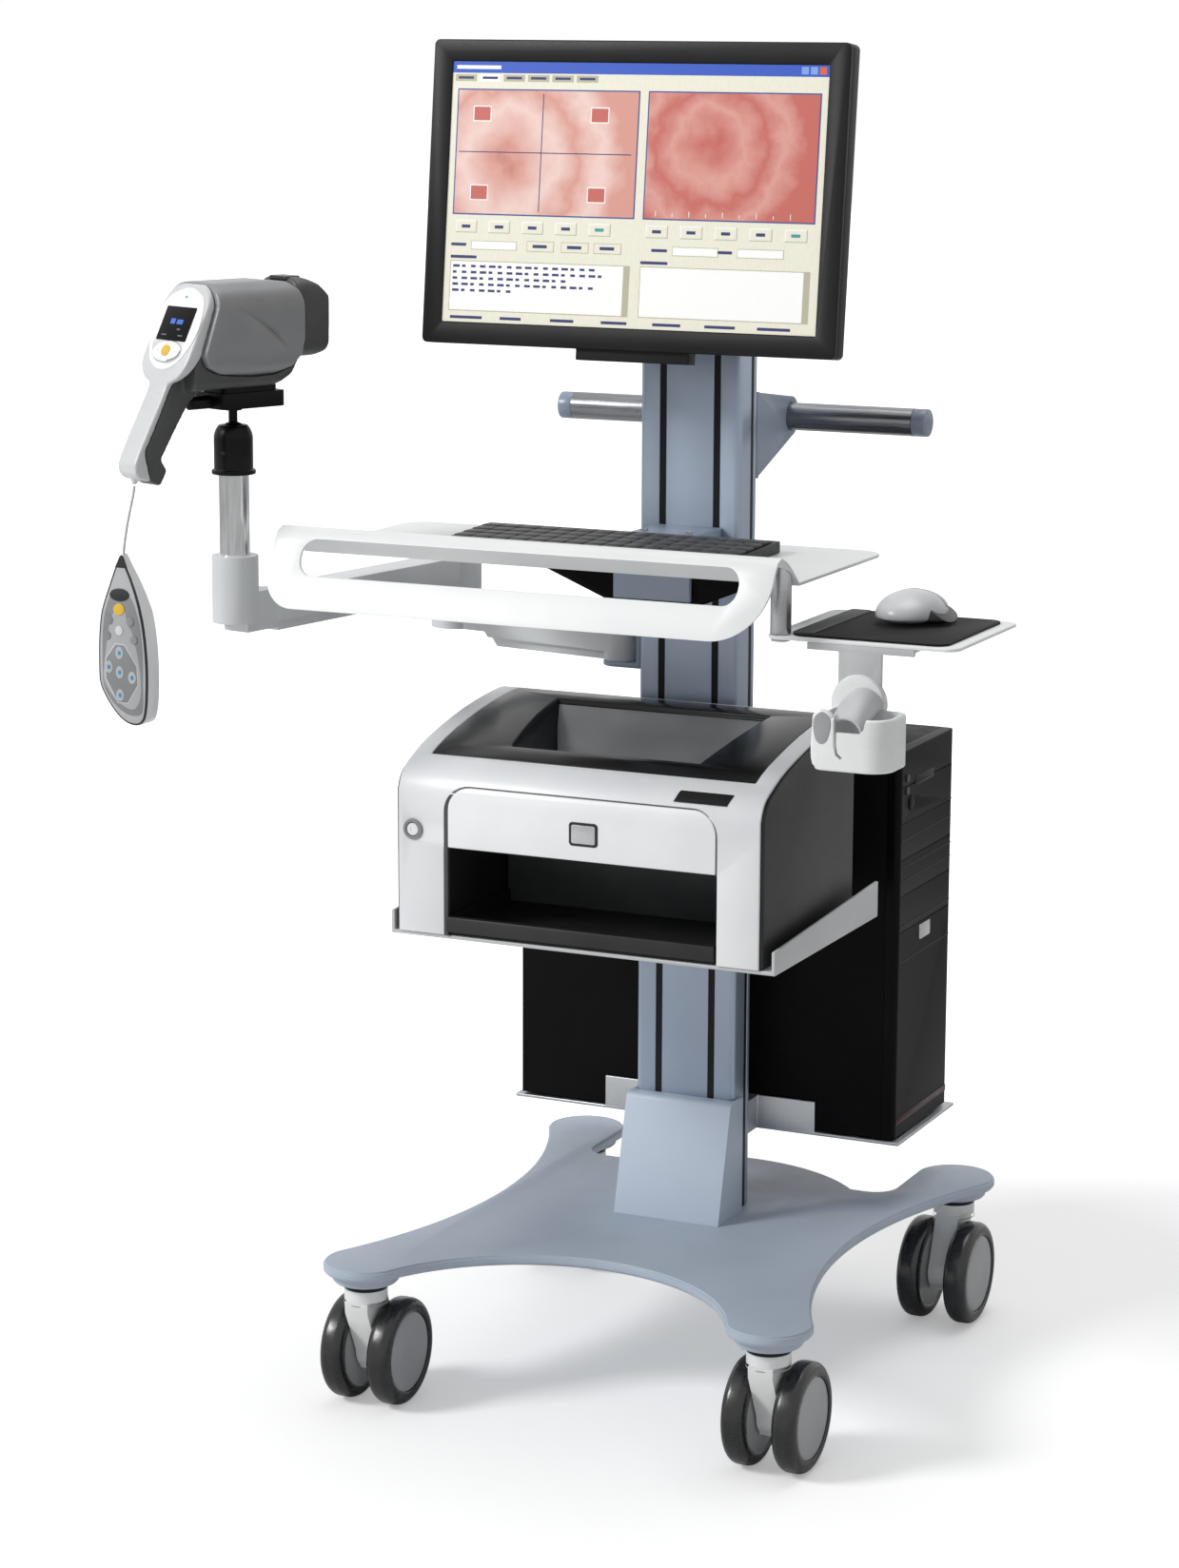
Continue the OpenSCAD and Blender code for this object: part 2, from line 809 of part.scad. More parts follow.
// Handle: a rear plate with two gussets, and the bar that passes through them
module handle_bracket() color("lightsteelblue") {
    half = col_w / 2;
    difference() {
        union() {
            box([-half, col_rear, bar_z - gusset_drop], [half, col_rear + gusset_t, bar_z + gusset_rise]);
            for (x = [-half, half - gusset_t]) across(x, x + gusset_t) {
                polygon([[col_rear, bar_z - gusset_drop],
                    [bar_y + ear_r * cos(gusset_turn), bar_z - ear_r * sin(gusset_turn)],
                    [bar_y, bar_z + ear_r], [col_rear, bar_z + gusset_rise]]);
                translate([bar_y, bar_z]) circle(ear_r);
            }
        }
        rod_x(-bar_len, bar_len, bar_y, bar_z, bar_d + 2 * fit_gap);
    }
}

module handle_bar() color("silver") difference() {
    rod_x(cap_l - bar_len / 2, bar_len / 2 - cap_l, bar_y, bar_z, bar_d);
    rod_x(-bar_len, bar_len, bar_y, bar_z, bar_d - 2 * bar_wall);
}

module handle_caps() color("slategray") for (s = [-1, 1]) {
    cap_x = s * (bar_len - cap_l) / 2;
    plug_x = s * (bar_len / 2 - cap_l - cap_plug / 2);
    rod_x(cap_x - cap_l / 2, cap_x + cap_l / 2, bar_y, bar_z, bar_d - 2 * fit_gap);
    rod_x(plug_x - cap_plug / 2, plug_x + cap_plug / 2, bar_y, bar_z, bar_d - 2 * bar_wall - 2 * fit_gap);
}

// Top cap of the column with the two lugs and the pin that the monitor turns on
module column_head() color("dimgray") {
    half = head_h / 2;
    box([-col_w / 2, -col_front, col_top], [col_w / 2, col_rear, col_top + cap_t]);
    box([-head_w / 2, -col_front - head_d, tilt_z - half], [head_w / 2, -col_front, col_top + cap_t]);
    for (z = [tilt_z - half, tilt_z + half - lug_t]) {
        rod(0, yoke_y, z, z + lug_t, 2 * yoke_r);
        box([-yoke_r, yoke_y, z], [yoke_r, -col_front, z + lug_t]);
    }
    rod(0, yoke_y, tilt_z - half, tilt_z + half, pin_d);
}

module monitor_yoke() color("black") {
    half = head_h / 2 - lug_t - gap;
    r = yoke_r - gap;
    difference() {
        union() {
            rod(0, yoke_y, tilt_z - half, tilt_z + half, 2 * r);
            box([-knuckle_w / 2, tilt_y, tilt_z - r], [knuckle_w / 2, yoke_y, tilt_z + r]);
            rod_x(-knuckle_w / 2, knuckle_w / 2, tilt_y, tilt_z, 2 * r);
        }
        rod(0, yoke_y, tilt_z - head_h, tilt_z + head_h, pin_d + 2 * fit_gap);
        rod_x(-knuckle_w, knuckle_w, tilt_y, tilt_z, pin_d + 2 * fit_gap);
    }
}

// Places a piece in the monitor's frame: X across, Y to the rear, Z up its face
module on_monitor() {
    translate([-mon_off, -mon_y, mon_z]) rotate([-mon_lean, 0, 0]) children();
}
module monitor_back() color("black") {
    half = mon_w / 2;
    ear_x = knuckle_w / 2 + gap;
    on_monitor() difference() {
        union() {
            deep(rim_t, mon_d - hump_d) panel([-half, 0], [half, mon_h], four(mon_corner));
            deep(rim_t, mon_d) panel([hump_in - half, hump_in], [half - hump_in, mon_h - hump_in],
                four(hump_d));
            box([mon_off - chin_w / 2, rim_t, -chin_h], [mon_off + chin_w / 2, rim_t + chin_d, 0]);
            box([mon_off - vesa_w / 2, mon_d, mon_mid - vesa_w / 2],
                [mon_off + vesa_w / 2, mon_d + vesa_t, mon_mid + vesa_w / 2]);
        }
        box([mon_rim - half, rim_t - over, mon_rim],
            [half - mon_rim, mon_d - hump_d - mon_wall, mon_h - mon_rim]);
    }
    // Ears and pin of the tilt hinge
    for (x = [-ear_x - ear_t, ear_x]) difference() {
        across(x, x + ear_t) {
            translate([tilt_y, tilt_z]) circle(yoke_r);
            translate([tilt_y - tilt_back, tilt_z - yoke_r]) square([tilt_back, 2 * yoke_r]);
        }
        on_monitor() box([-half, 0, 0], [half, mon_d, mon_h]);
    }
    rod_x(-ear_x - ear_t, ear_x + ear_t, tilt_y, tilt_z, pin_d);
}
module monitor_frame() color("black") {
    half = mon_w / 2;
    on_monitor() deep(0, rim_t) difference() {
        panel([-half, 0], [half, mon_h], four(mon_corner));
        translate([mon_rim - half, mon_rim]) square([mon_w - 2 * mon_rim, mon_h - 2 * mon_rim]);
    }
}
module monitor_screen() color("lightblue") {
    half = mon_w / 2 - mon_rim;
    on_monitor() box([-half, screen_in, mon_rim], [half, screen_in + screen_t, mon_h - mon_rim]);
}

// Bracket that holds the tray sheet from below and above, and its cross beam
module tray_bracket() color("lightsteelblue") difference() {
    union() {
        box([-arm_w / 2, -clamp_reach, tray_low - arm_drop], [arm_w / 2, -col_front, tray_low]);
        box([-clamp_w / 2, -clamp_reach, tray_z], [clamp_w / 2, -col_front, tray_z + clamp_t]);
        box([-clamp_w / 2, -tray_back, tray_low - over], [clamp_w / 2, -col_front, tray_z + over]);
    }
    box([-arm_w, -clamp_reach - over, tray_low], [arm_w, -tray_back, tray_z]);
}
module tray_beam() color("black") difference() {
    deep(-beam_front, -beam_back) polygon([[-beam_w / 2, tray_low - beam_tip],
        [-beam_flat / 2, tray_low - beam_drop], [beam_flat / 2, tray_low - beam_drop],
        [beam_w / 2, tray_low - beam_tip], [beam_w / 2, tray_low], [-beam_w / 2, tray_low]]);
    box([-arm_w / 2, -clamp_reach, tray_low - arm_drop], [arm_w / 2, -col_front, tray_z]);
}

// Line of the tray's upper face from its rear edge over the ridge to the foot of its flap
tray_line = concat([[-tray_back, tray_z], [-(tray_back + ridge_y) / 2, tray_z]],
    smooth([for (q = ramp_share) [ramp_l * (1 - q[0]) - ridge_y, tray_z + ridge_h * q[1]]], 5),
    [for (q = nose_share) [-ridge_y - nose_r * q[0], tray_z + ridge_h - nose_r * q[1]]],
    [[-ridge_y - flap_lean, tray_z - flap_drop]]);

module keyboard_tray() color("white") {
    low = tray_z - flap_drop;
    top = tray_z + 2 * ridge_h;
    front = -ridge_y - 2 * flap_lean;
    bend = ridge_h - ridge_y;
    slot_low = low + slot_rise;
    intersection() {
        difference() {
            across(tray_left, tray_right) polygon(concat(tray_line, turned(beside(tray_line, sheet_t))));
            deep(front, -ridge_y) panel([-slot_off - hand_slot_w / 2, slot_low],
                [-slot_off + hand_slot_w / 2, slot_low + hand_slot_h], four(slot_corner));
        }
        union() {
            deep(front, bend) panel([tray_left, low], [tray_right, top],
                [flap_corner_left, flap_corner_right, 0, 0]);
            linear_extrude(top) panel([tray_left, bend], [tray_right, -tray_back],
                [0, 0, tray_corner, tray_corner]);
        }
    }
}

// Height of the keyboard's top face
function kb_top(y) = tray_z + kb_front_h + (kb_back_h - kb_front_h) * (y - kb_front) / kb_d;
module keyboard_case() color("black") difference() {
    front = kb_front + kb_edge - gap;
    back = -kb_back - kb_edge + gap;
    across(kb_left, kb_left + kb_w) polygon([[kb_front, tray_z + gap], [-kb_back, tray_z + gap],
        [-kb_back, kb_top(-kb_back)], [kb_front, kb_top(kb_front)]]);
    across(kb_left + kb_side - gap, kb_left + kb_w - kb_side + gap) polygon([
        [front, kb_top(front) - key_room], [back, kb_top(back) - key_room],
        [back, kb_top(back) + over], [front, kb_top(front) + over]]);
}
module keycaps() color("dimgray") for (r = [0:key_rows - 1]) {
    y = kb_front + kb_edge + r * key_pitch;
    z = kb_top(y) - key_sink;
    for (c = [0:key_cols - 1]) if (r > 0 || c <= space_first || c > space_last) {
        x = kb_left + kb_side + c * key_pitch;
        span = r == 0 && c == space_first ? space_last - space_first + 1 : 1;
        box([x + key_gap / 2, y + key_gap / 2, z],
            [x + span * key_pitch - key_gap / 2, y + key_pitch - key_gap / 2, z + key_h]);
    }
}

// Post under the ridge, cut to the tray's underside, that the mouse tray turns on
module mouse_post() color("gray") {
    under = beside(tray_line, sheet_t);
    difference() {
        rod(post_x, -post_y, pad_z + gap, tray_z + ridge_h, post_d);
        across(tray_left, tray_right + post_d) polygon(concat(under,
            [[-ridge_y - flap_lean, tray_z + 2 * ridge_h], [-tray_back, tray_z + 2 * ridge_h]]));
    }
    rod(post_x, -post_y, pad_z - pad_t - gap, pad_z + gap, post_neck_d);
    rod(post_x, -post_y, pad_z - pad_t - gap - post_head_t, pad_z - pad_t - gap, post_head_d);
}
module mouse_tray() color("whitesmoke") difference() {
    low = [post_x - pad_left, -post_y - pad_front];
    translate([0, 0, pad_z - pad_t]) linear_extrude(pad_t)
        panel(low, low + [pad_w, pad_l], four(pad_corner));
    rod(post_x, -post_y, pad_z - pad_t - over, pad_z + over, post_neck_d + 2 * fit_gap);
}
module mouse_mat() color("black") translate([0, 0, pad_z]) linear_extrude(mat_t)
    panel([post_x + post_d / 2 + over, mat_edge - post_y - pad_front],
        [post_x - pad_left + pad_w - mat_side, pad_l - mat_edge - post_y - pad_front], four(pad_corner));

// Outer form of the mouse: its plan, its side view and its arch
module mouse_form() {
    plan = [for (p = smooth(mouse_plan_share, 3)) [p[1] * mouse_w / 2, p[0] * mouse_l - mouse_l / 2]];
    side = [for (p = smooth(mouse_side_share, 3)) [p[0] * mouse_l - mouse_l / 2 - mouse_y,
        pad_z + mat_t + p[1] * mouse_h]];
    low = pad_z + mat_t + gap;
    translate([mouse_x, 0, 0]) intersection() {
        translate([0, -mouse_y, 0]) linear_extrude(low + mouse_h)
            polygon(concat(plan, [for (p = turned(plan)) [-p[0], p[1]]]));
        across(-mouse_w, mouse_w) polygon(concat(turned(side),
            [[-mouse_l / 2 - mouse_y, low], [mouse_l / 2 - mouse_y, low]]));
        deep(-mouse_y - mouse_l, mouse_l - mouse_y)
            translate([0, low + mouse_h - mouse_arch]) circle(mouse_arch);
    }
}
// Space of the two buttons, left and right of a groove, widened by a clearance
module mouse_keys(g) {
    low = pad_z + mat_t + mouse_seam - g;
    back = mouse_l / 2 - mouse_key_l - mouse_y - g;
    translate([mouse_x, 0, 0]) for (m = [0, 1]) mirror([m, 0, 0])
        box([mouse_groove - g / 2, back, low], [mouse_w, mouse_l - mouse_y, low + mouse_h]);
}
module mouse() color("lightgray") difference() {
    mouse_form();
    mouse_keys(mouse_groove);
}
module mouse_button() color("lightgray") intersection() {
    mouse_form();
    mouse_keys(0);
}

// Hanger under the front edge of the mouse tray
module cradle_hanger() color("lightgray") {
    top = pad_z - pad_t;
    left = hanger_x - hanger_flange_w / 2;
    right = hanger_x + hanger_flange_w / 2;
    box([left, hanger_y - hanger_t, top - hanger_lip], [right, hanger_y, top]);
    box([left, hanger_y, top - hanger_t], [right, hanger_y + hanger_ledge, top]);
    difference() {
        box([hanger_x - hanger_w / 2, hanger_y - hanger_t, disc_z - hanger_w / 2],
            [hanger_x + hanger_w / 2, hanger_y, top]);
        rod_y(hanger_x, hanger_y - 2 * hanger_t, hanger_y + hanger_t, disc_z, disc_pin_d + 2 * fit_gap);
    }
}
// Turning disc with its pin and washer, and the cup with its notch and prong
module cradle_cup() color("white") {
    front = cup_y - cup_d;
    left = cup_x - cup_w / 2;
    right = cup_x + cup_w / 2;
    mouth = cup_low + cup_h;
    rod_y(hanger_x, cup_y, cup_y + disc_t, disc_z, disc_d);
    rod_y(hanger_x, cup_y, hanger_y + gap, disc_z, disc_pin_d);
    rod_y(hanger_x, hanger_y + gap, hanger_y + gap + hanger_t, disc_z, disc_washer_d);
    difference() {
        translate([0, 0, cup_low]) linear_extrude(cup_h) panel([left, front], [right, cup_y],
            [cup_corner, cup_corner, cup_back_corner, cup_back_corner]);
        translate([0, 0, cup_low + cup_wall]) linear_extrude(cup_h) panel(
            [left + cup_wall, front + cup_wall], [right - cup_wall, cup_y - cup_wall],
            four(cup_back_corner) + [1, 1, 0, 0] * (cup_corner - cup_back_corner - cup_wall));
        deep(front - over, front + 2 * cup_wall) panel([hanger_x, mouth - notch_h],
            [hanger_x + notch_w, mouth + over], [notch_corner, notch_corner, 0, 0]);
    }
    difference() {
        deep(front, front + prong_t) panel([hanger_x - prong_w, mouth - notch_h],
            [hanger_x, mouth + prong_rise], four(notch_corner));
        translate([0, 0, cup_low + cup_wall]) linear_extrude(mouth - cup_low - cup_wall) panel(
            [left + cup_wall, front + cup_wall], [right - cup_wall, cup_y - cup_wall], four(0));
    }
}

// Fork on the column's side, with the shoulder pin
module arm_bracket() color("lightsteelblue") {
    half = col_w / 2;
    low = link_z - gap - fork_t;
    high = link_z + link_h + gap;
    for (z = [low, high]) {
        rod(-shoulder_x, shoulder_y, z, z + fork_t, 2 * lug_r);
        box([-shoulder_x, shoulder_y - lug_r, z], [-half, shoulder_y + lug_r, z + fork_t]);
    }
    box([-half - fork_t, shoulder_y - lug_r, low], [-half, shoulder_y + lug_r, high + fork_t]);
    rod(-shoulder_x, shoulder_y, low, high + fork_t, arm_pin_d);
}
// Places a piece along the line from one joint to the next
module along(a, b) {
    translate([a[0], a[1], 0]) rotate([0, 0, atan2(b[1] - a[1], b[0] - a[0])]) children();
}
// Inner link: a beam with a rail under it that runs out before the elbow
module arm_inner() color("lightgray") {
    reach = norm(elbow - shoulder);
    top = link_z + link_h;
    thin = top - link_thin;
    difference() {
        along(shoulder, elbow) {
            rod(0, 0, link_z, top, 2 * lug_r - 2 * gap);
            rod(reach, 0, thin, top, 2 * elbow_r);
            intersection() {
                union() {
                    box([0, link_in - link_w / 2, link_z + rail_h], [reach, link_w / 2 - link_in, top]);
                    box([0, -rail_w / 2, link_z], [reach, rail_w / 2, link_z + rail_h]);
                }
                deep(-link_w, link_w) polygon([[0, link_z], [reach - taper_from, link_z],
                    [reach - taper_to, thin], [reach, thin], [reach, top], [0, top]]);
            }
        }
        rod(shoulder[0], shoulder[1], link_z - over, top + over, arm_pin_d + 2 * fit_gap);
    }
    rod(elbow[0], elbow[1], top, outer_z - gap, 2 * lug_r);
    rod(elbow[0], elbow[1], top, outer_top - fork_t, arm_pin_d);
}
// Outer link: a beam with a narrower sole, and the socket of the pole
module arm_outer() color("gray") {
    reach = norm(pole - elbow);
    difference() {
        union() {
            along(elbow, pole) {
                rod(0, 0, outer_z, outer_top, 2 * elbow_r - 2 * link_in);
                box([0, -link_w / 2, outer_z + rail_h], [reach - neck_l, link_w / 2, outer_top]);
                box([0, sole_in - link_w / 2, outer_z],
                    [reach - neck_l, link_w / 2 - sole_in, outer_z + rail_h]);
                box([reach - neck_l, sole_in - link_w / 2, outer_z + neck_rise],
                    [reach, link_w / 2 - sole_in, outer_top + neck_rise]);
            }
            rod(pole[0], pole[1], socket_z, socket_z + socket_h, socket_d);
        }
        rod(elbow[0], elbow[1], outer_z - over, outer_top - fork_t, arm_pin_d + 2 * fit_gap);
        rod(pole[0], pole[1], socket_z + socket_floor, socket_z + socket_h + over, pole_d + 2 * fit_gap);
    }
}
module arm_pole() color("silver") {
    rod(pole[0], pole[1], socket_z + socket_floor, ball_z - dome_h, pole_d);
    rod(pole[0], pole[1], ball_z - dome_h, ball_z - dome_h + spigot_h, spigot_d);
}

// Ball head on top of the pole
module ball_housing() color("black") translate([pole[0], pole[1], 0]) difference() {
    union() {
        rod(0, 0, ball_z - dome_h, ball_z, dome_d);
        rod(0, 0, ball_z - dome_h, ball_z - dome_h + dome_skirt_h, dome_skirt_d);
        translate([0, 0, ball_z]) sphere(d = dome_d);
    }
    translate([0, 0, ball_z]) sphere(d = ball_d + 2 * gap);
    rod(0, 0, ball_z + open_share * ball_d, ball_z + dome_d, dome_d);
    rod(0, 0, ball_z - dome_h - over, ball_z - dome_h + spigot_h, spigot_d + 2 * fit_gap);
}
module ball() color("silver") translate([pole[0], pole[1], ball_z]) sphere(d = ball_d);

// Places a piece in the camera's frame: X along its view, Y to its left, Z up
module on_camera() {
    translate([pole[0], pole[1], 0]) rotate([0, 0, look]) children();
}
// A camera outline from its shares
function cam_line(p) = [for (q = p) [cam_front - cam_l * (1 - q[0]), cam_top - cam_h * (1 - q[1])]];
cam_low = cam_line(grip_share)[4][1];
face_foot = cam_line(face_share)[0];
face_head = cam_line(face_share)[1];
face_lean = atan2(face_head[0] - face_foot[0], face_head[1] - face_foot[1]);
lens_z = cam_top - lens_drop;
hood_low = cam_top + hood_rise - hood_h;

module ball_plate() color("black") on_camera() {
    left = plate_off - plate_l / 2;
    right = plate_off + plate_l / 2;
    difference() {
        rod(0, 0, ball_z, plate_z, neck_d);
        translate([0, 0, ball_z]) sphere(d = ball_d + 2 * gap);
    }
    rod(0, 0, plate_z - flange_t, plate_z, 2 * neck_d);
    translate([0, 0, plate_z]) linear_extrude(cam_low - plate_z - pad_step)
        panel([left, -plate_w / 2], [right, plate_w / 2], four(plate_corner));
    translate([0, 0, cam_low - pad_step]) linear_extrude(pad_step)
        panel([left + pad_step, pad_step - plate_w / 2], [right - pad_step, plate_w / 2 - pad_step],
            four(plate_corner));
    rod_x(left - knob_l, left, 0, plate_z + knob_d / 2, knob_d);
    rod(plate_off, 0, cam_low, cam_low + screw_h, screw_d);
}

// Pushes a side outline out to a width, rounded as seen along the view
module cam_form(w, drop, r) {
    intersection() {
        deep(-w / 2, w / 2) children();
        across(cam_front - cam_l, cam_front) panel([-w / 2, cam_top - drop], [w / 2, cam_top], four(r));
    }
}
module camera_shell() color("gray") on_camera() difference() {
    cam_form(cam_w, shell_drop, shell_round) polygon(cam_line(shell_share));
    cam_form(cam_w - 2 * shell_wall, shell_drop - shell_wall, shell_round) polygon(
        beside(cam_line(shell_share), -shell_wall));
    rod_x(cam_front - 2 * shell_wall, cam_front + over, 0, lens_z, lens_d + 2 * gap);
}
module camera_grip() color("dimgray") on_camera() difference() {
    union() {
        cam_form(belly_w, cam_top - cam_low, belly_round) intersection() {
            polygon(cam_line(grip_share));
            translate([-belly_from, 0]) square([cam_l, cam_top]);
        }
        deep(-grip_w / 2, grip_w / 2) polygon(cam_line(grip_share));
    }
    deep(-cam_w, cam_w) polygon(cam_line(shell_share));
    rod(plate_off, 0, cam_low - over, cam_low + screw_h + gap, screw_d + 2 * fit_gap);
}
// Places a piece on the leaning face: X across, Y into the camera, Z up the face
module on_face() {
    translate([face_foot[0], 0, face_foot[1]]) rotate([0, 0, -90]) rotate([-face_lean, 0, 0]) children();
}
// The oval key pad below the display, from one depth to another
module keypad(y0, y1, grow) {
    half = [keypad_w / 2 + grow, keypad_h / 2 + grow];
    deep(y0, y1) panel([-half[0], keypad_rise - half[1]], [half[0], keypad_rise + half[1]],
        four(half[1]));
}
module camera_face() color("white") on_camera() difference() {
    union() {
        cam_form(face_w, shell_drop, shell_round) polygon(cam_line(face_share));
        deep(-grip_w / 2, grip_w / 2) intersection() {
            polygon(cam_line(face_share));
            translate([cam_front - cam_l, cam_top - cam_h]) square([cam_l, hand_h]);
        }
        rod(cord_exit[0], 0, cord_exit[1] + cord_gap, cord_exit[1] + cord_gap + gland_h, gland_d);
    }
    on_face() box([-disp_w / 2, -over, disp_rise], [disp_w / 2, bezel_t, disp_rise + disp_h]);
    on_face() keypad(-keypad_w, keypad_t, gap);
}
module camera_display() color("black") on_camera() on_face()
    box([fit_gap - disp_w / 2, 0, disp_rise + fit_gap],
        [disp_w / 2 - fit_gap, bezel_t, disp_rise + disp_h - fit_gap]);
module camera_keys() color("gold") on_camera() on_face()
    keypad(-keypad_out, keypad_t - keypad_out, 0);

module hood_form(inset) {
    outline = [for (q = hood_share) [cam_front + q[0] * hood_l, hood_low + q[1] * hood_h]];
    intersection() {
        deep(inset - hood_w / 2, hood_w / 2 - inset) polygon(outline);
        across(cam_front, cam_front + hood_l) panel([inset - hood_w / 2, hood_low + inset],
            [hood_w / 2 - inset, hood_low + hood_h - inset], four(hood_round - inset));
    }
}
module camera_hood() color("dimgray") on_camera() difference() {
    hood_form(0);
    translate([hood_wall, 0, 0]) hood_form(hood_wall);
    rod_x(cam_front - over, cam_front + hood_wall + over, 0, lens_z, lens_d + 2 * gap);
}
module camera_lens() color("darkslategray") on_camera() {
    tip = cam_front + lens_reach;
    difference() {
        rod_x(cam_front - lens_back, tip, 0, lens_z, lens_d);
        rod_x(tip - lens_recess, tip + over, 0, lens_z, lens_d - 2 * lens_wall);
    }
    rod_x(tip - lens_recess, tip - lens_recess + glass_t, 0, lens_z, lens_d - 2 * lens_wall - 2 * fit_gap);
}

// Remote, hanging on its cord: a drop-shaped body with a field of keys
module remote_form(t, inset) {
    line = [for (p = smooth(remote_share, 3)) [p[1] * (rem_w / 2 - inset),
        cord_end[1] - inset - p[0] * (rem_l - 2 * inset)]];
    across(-t / 2, t / 2) polygon(concat(line, [for (p = turned(line)) if (p[0] > 0) [-p[0], p[1]]]));
}
// Places a piece on the remote, which the cord has turned towards the operator's right
module on_remote() {
    on_camera() translate([cord_end[0], 0, 0]) rotate([0, 0, remote_turn]) children();
}
module remote_shell() color("silver") on_remote() difference() {
    union() {
        remote_form(rem_t - edge_t, 0);
        remote_form(rem_t, edge_in);
    }
    translate([-rem_t / 2, 0, 0]) remote_form(2 * field_depth, field_in);
}
module remote_keys() color("gray") on_remote()
    translate([field_depth / 2 - rem_t / 2 - field_t / 2, 0, 0])
        remote_form(field_t, field_in + gap);

// Cord from the gland in the grip's foot to the tip of the remote, one swept tube
module remote_cord() color("silver") on_camera() {
    p = cord_route;
    n = cord_sides;
    m = len(p);
    r = cord_d / 2;
    rings = [for (i = [0:m - 1]) let (d = i == 0 || i == m - 1 ? [0, -1] : way(p, i))
        for (k = [0:n - 1]) let (t = 360 * k / n)
            [p[i][0] - r * cos(t) * d[1], r * sin(t), p[i][1] + r * cos(t) * d[0]]];
    sides = [for (i = [0:m - 2]) for (k = [0:n - 1]) let (a = i * n + k, b = i * n + (k + 1) % n)
        for (f = [[a, b, a + n], [b, b + n, a + n]]) f];
    polyhedron(points = rings, faces = concat(sides,
        [[for (k = [n - 1:-1:0]) k], [for (k = [0:n - 1]) (m - 1) * n + k]]));
}

// Side line of the printer from its lower front edge over the top to its rear
printer_line = [for (p = smooth(printer_share, 3))
    [p[0] * (prn_front - prn_back) - prn_front, prn_z + p[1] * prn_h]];
module printer_side(inset, spare = 0) {
    line = beside(printer_line, -inset);
    last = len(line) - 1;
    polygon([[line[0][0], prn_z - spare], for (i = [1:last - 1]) line[i],
        [spare - prn_back, line[last][1]], [spare - prn_back, prn_z - spare]]);
}

module printer_shelf() color("gainsboro") {
    half = shelf_w / 2;
    top = prn_z - gap;
    flange = col_w / 2 - shelf_flange_in;
    box([-half, -shelf_front, top - shelf_t], [half, -col_front, top]);
    for (s = [-1, 1]) {
        wing = s * (half + col_w / 2) / 2;
        wing_w = half - col_w / 2 - gap;
        box([wing - wing_w / 2, -col_front, top - shelf_t], [wing + wing_w / 2, -shelf_rear, top]);
    }
    for (x = [-half, half - shelf_t]) across(x, x + shelf_t) polygon([[-shelf_front, top - shelf_t],
        [-shelf_rear, top - shelf_t], [-shelf_rear, top + lip_rear], [-shelf_front, top + lip_front]]);
    box([-flange, -col_front - shelf_t, top], [flange, -col_front, top + shelf_flange]);
}
// Where the switch of the printer sits
module switch_bore() {
    rod_y(-switch_x, -prn_front - over, switch_t + switch_room - prn_front, prn_z + switch_rise,
        switch_d + 2 * gap);
}
module paper_bay() {
    box([-bay_w / 2, -prn_front - over, prn_z + bay_floor],
        [bay_w / 2, bay_depth - prn_front, prn_z + bay_h]);
}
// Space of the lid, cut out of the case and its cover
module lid_space(g) {
    low = prn_z + well_floor - lid_t - g;
    across(lid_left - g, lid_right + g) polygon([[-lid_front - g, prn_z + well_floor + lid_lip],
        [lid_heel - lid_front, low], [g - lid_back, low], [g - lid_back, prn_z + 2 * prn_h],
        [-lid_front - g, prn_z + 2 * prn_h]]);
}
module printer_case() color("dimgray") difference() {
    across(printer_left, printer_right) printer_side(cover_t + gap);
    paper_bay();
    lid_space(gap);
    switch_bore();
}
module printer_cover() color("white") difference() {
    across(printer_left + side_t, printer_right - side_t) printer_side(0);
    across(printer_left, printer_right) printer_side(cover_t, over);
    box([-bay_w / 2, -prn_front - over, prn_z - over], [bay_w / 2, 0, prn_z + bay_h]);
    lid_space(gap);
    switch_bore();
}
// Lid with the output well, hinged at its rear edge
module printer_lid() color("black") difference() {
    intersection() {
        lid_space(0);
        across(lid_left, lid_right) printer_side(0);
    }
    intersection() {
        deep(-well_front, -well_back) polygon([[-well_low_w / 2, prn_z + well_floor],
            [well_low_w / 2, prn_z + well_floor], [well_w / 2, prn_z + prn_h],
            [well_w / 2, prn_z + 2 * prn_h], [-well_w / 2, prn_z + 2 * prn_h],
            [-well_w / 2, prn_z + prn_h]]);
        across(lid_left, lid_right) polygon([[-well_front, prn_z + 2 * prn_h],
            [-well_front, prn_z + well_sill],
            [-well_knee, prn_z + well_floor], [-well_back, prn_z + well_head],
            [-well_back, prn_z + 2 * prn_h]]);
    }
}
// Paper tray in the bay
module printer_tray() color("dimgray") difference() {
    half = bay_w / 2 - bin_gap;
    low = prn_z + bay_floor + gap;
    back = bay_depth - prn_front - gap;
    box([-half, -prn_front - switch_out, low], [half, back, low + bin_h]);
    box([bin_wall - half, 2 * bin_wall - prn_front, low + bin_wall],
        [half - bin_wall, back + over, low + 2 * bin_h]);
}
module printer_button() color("white")
    rod_y(-switch_x, -prn_front - switch_out, switch_t - prn_front, prn_z + switch_rise, switch_d);

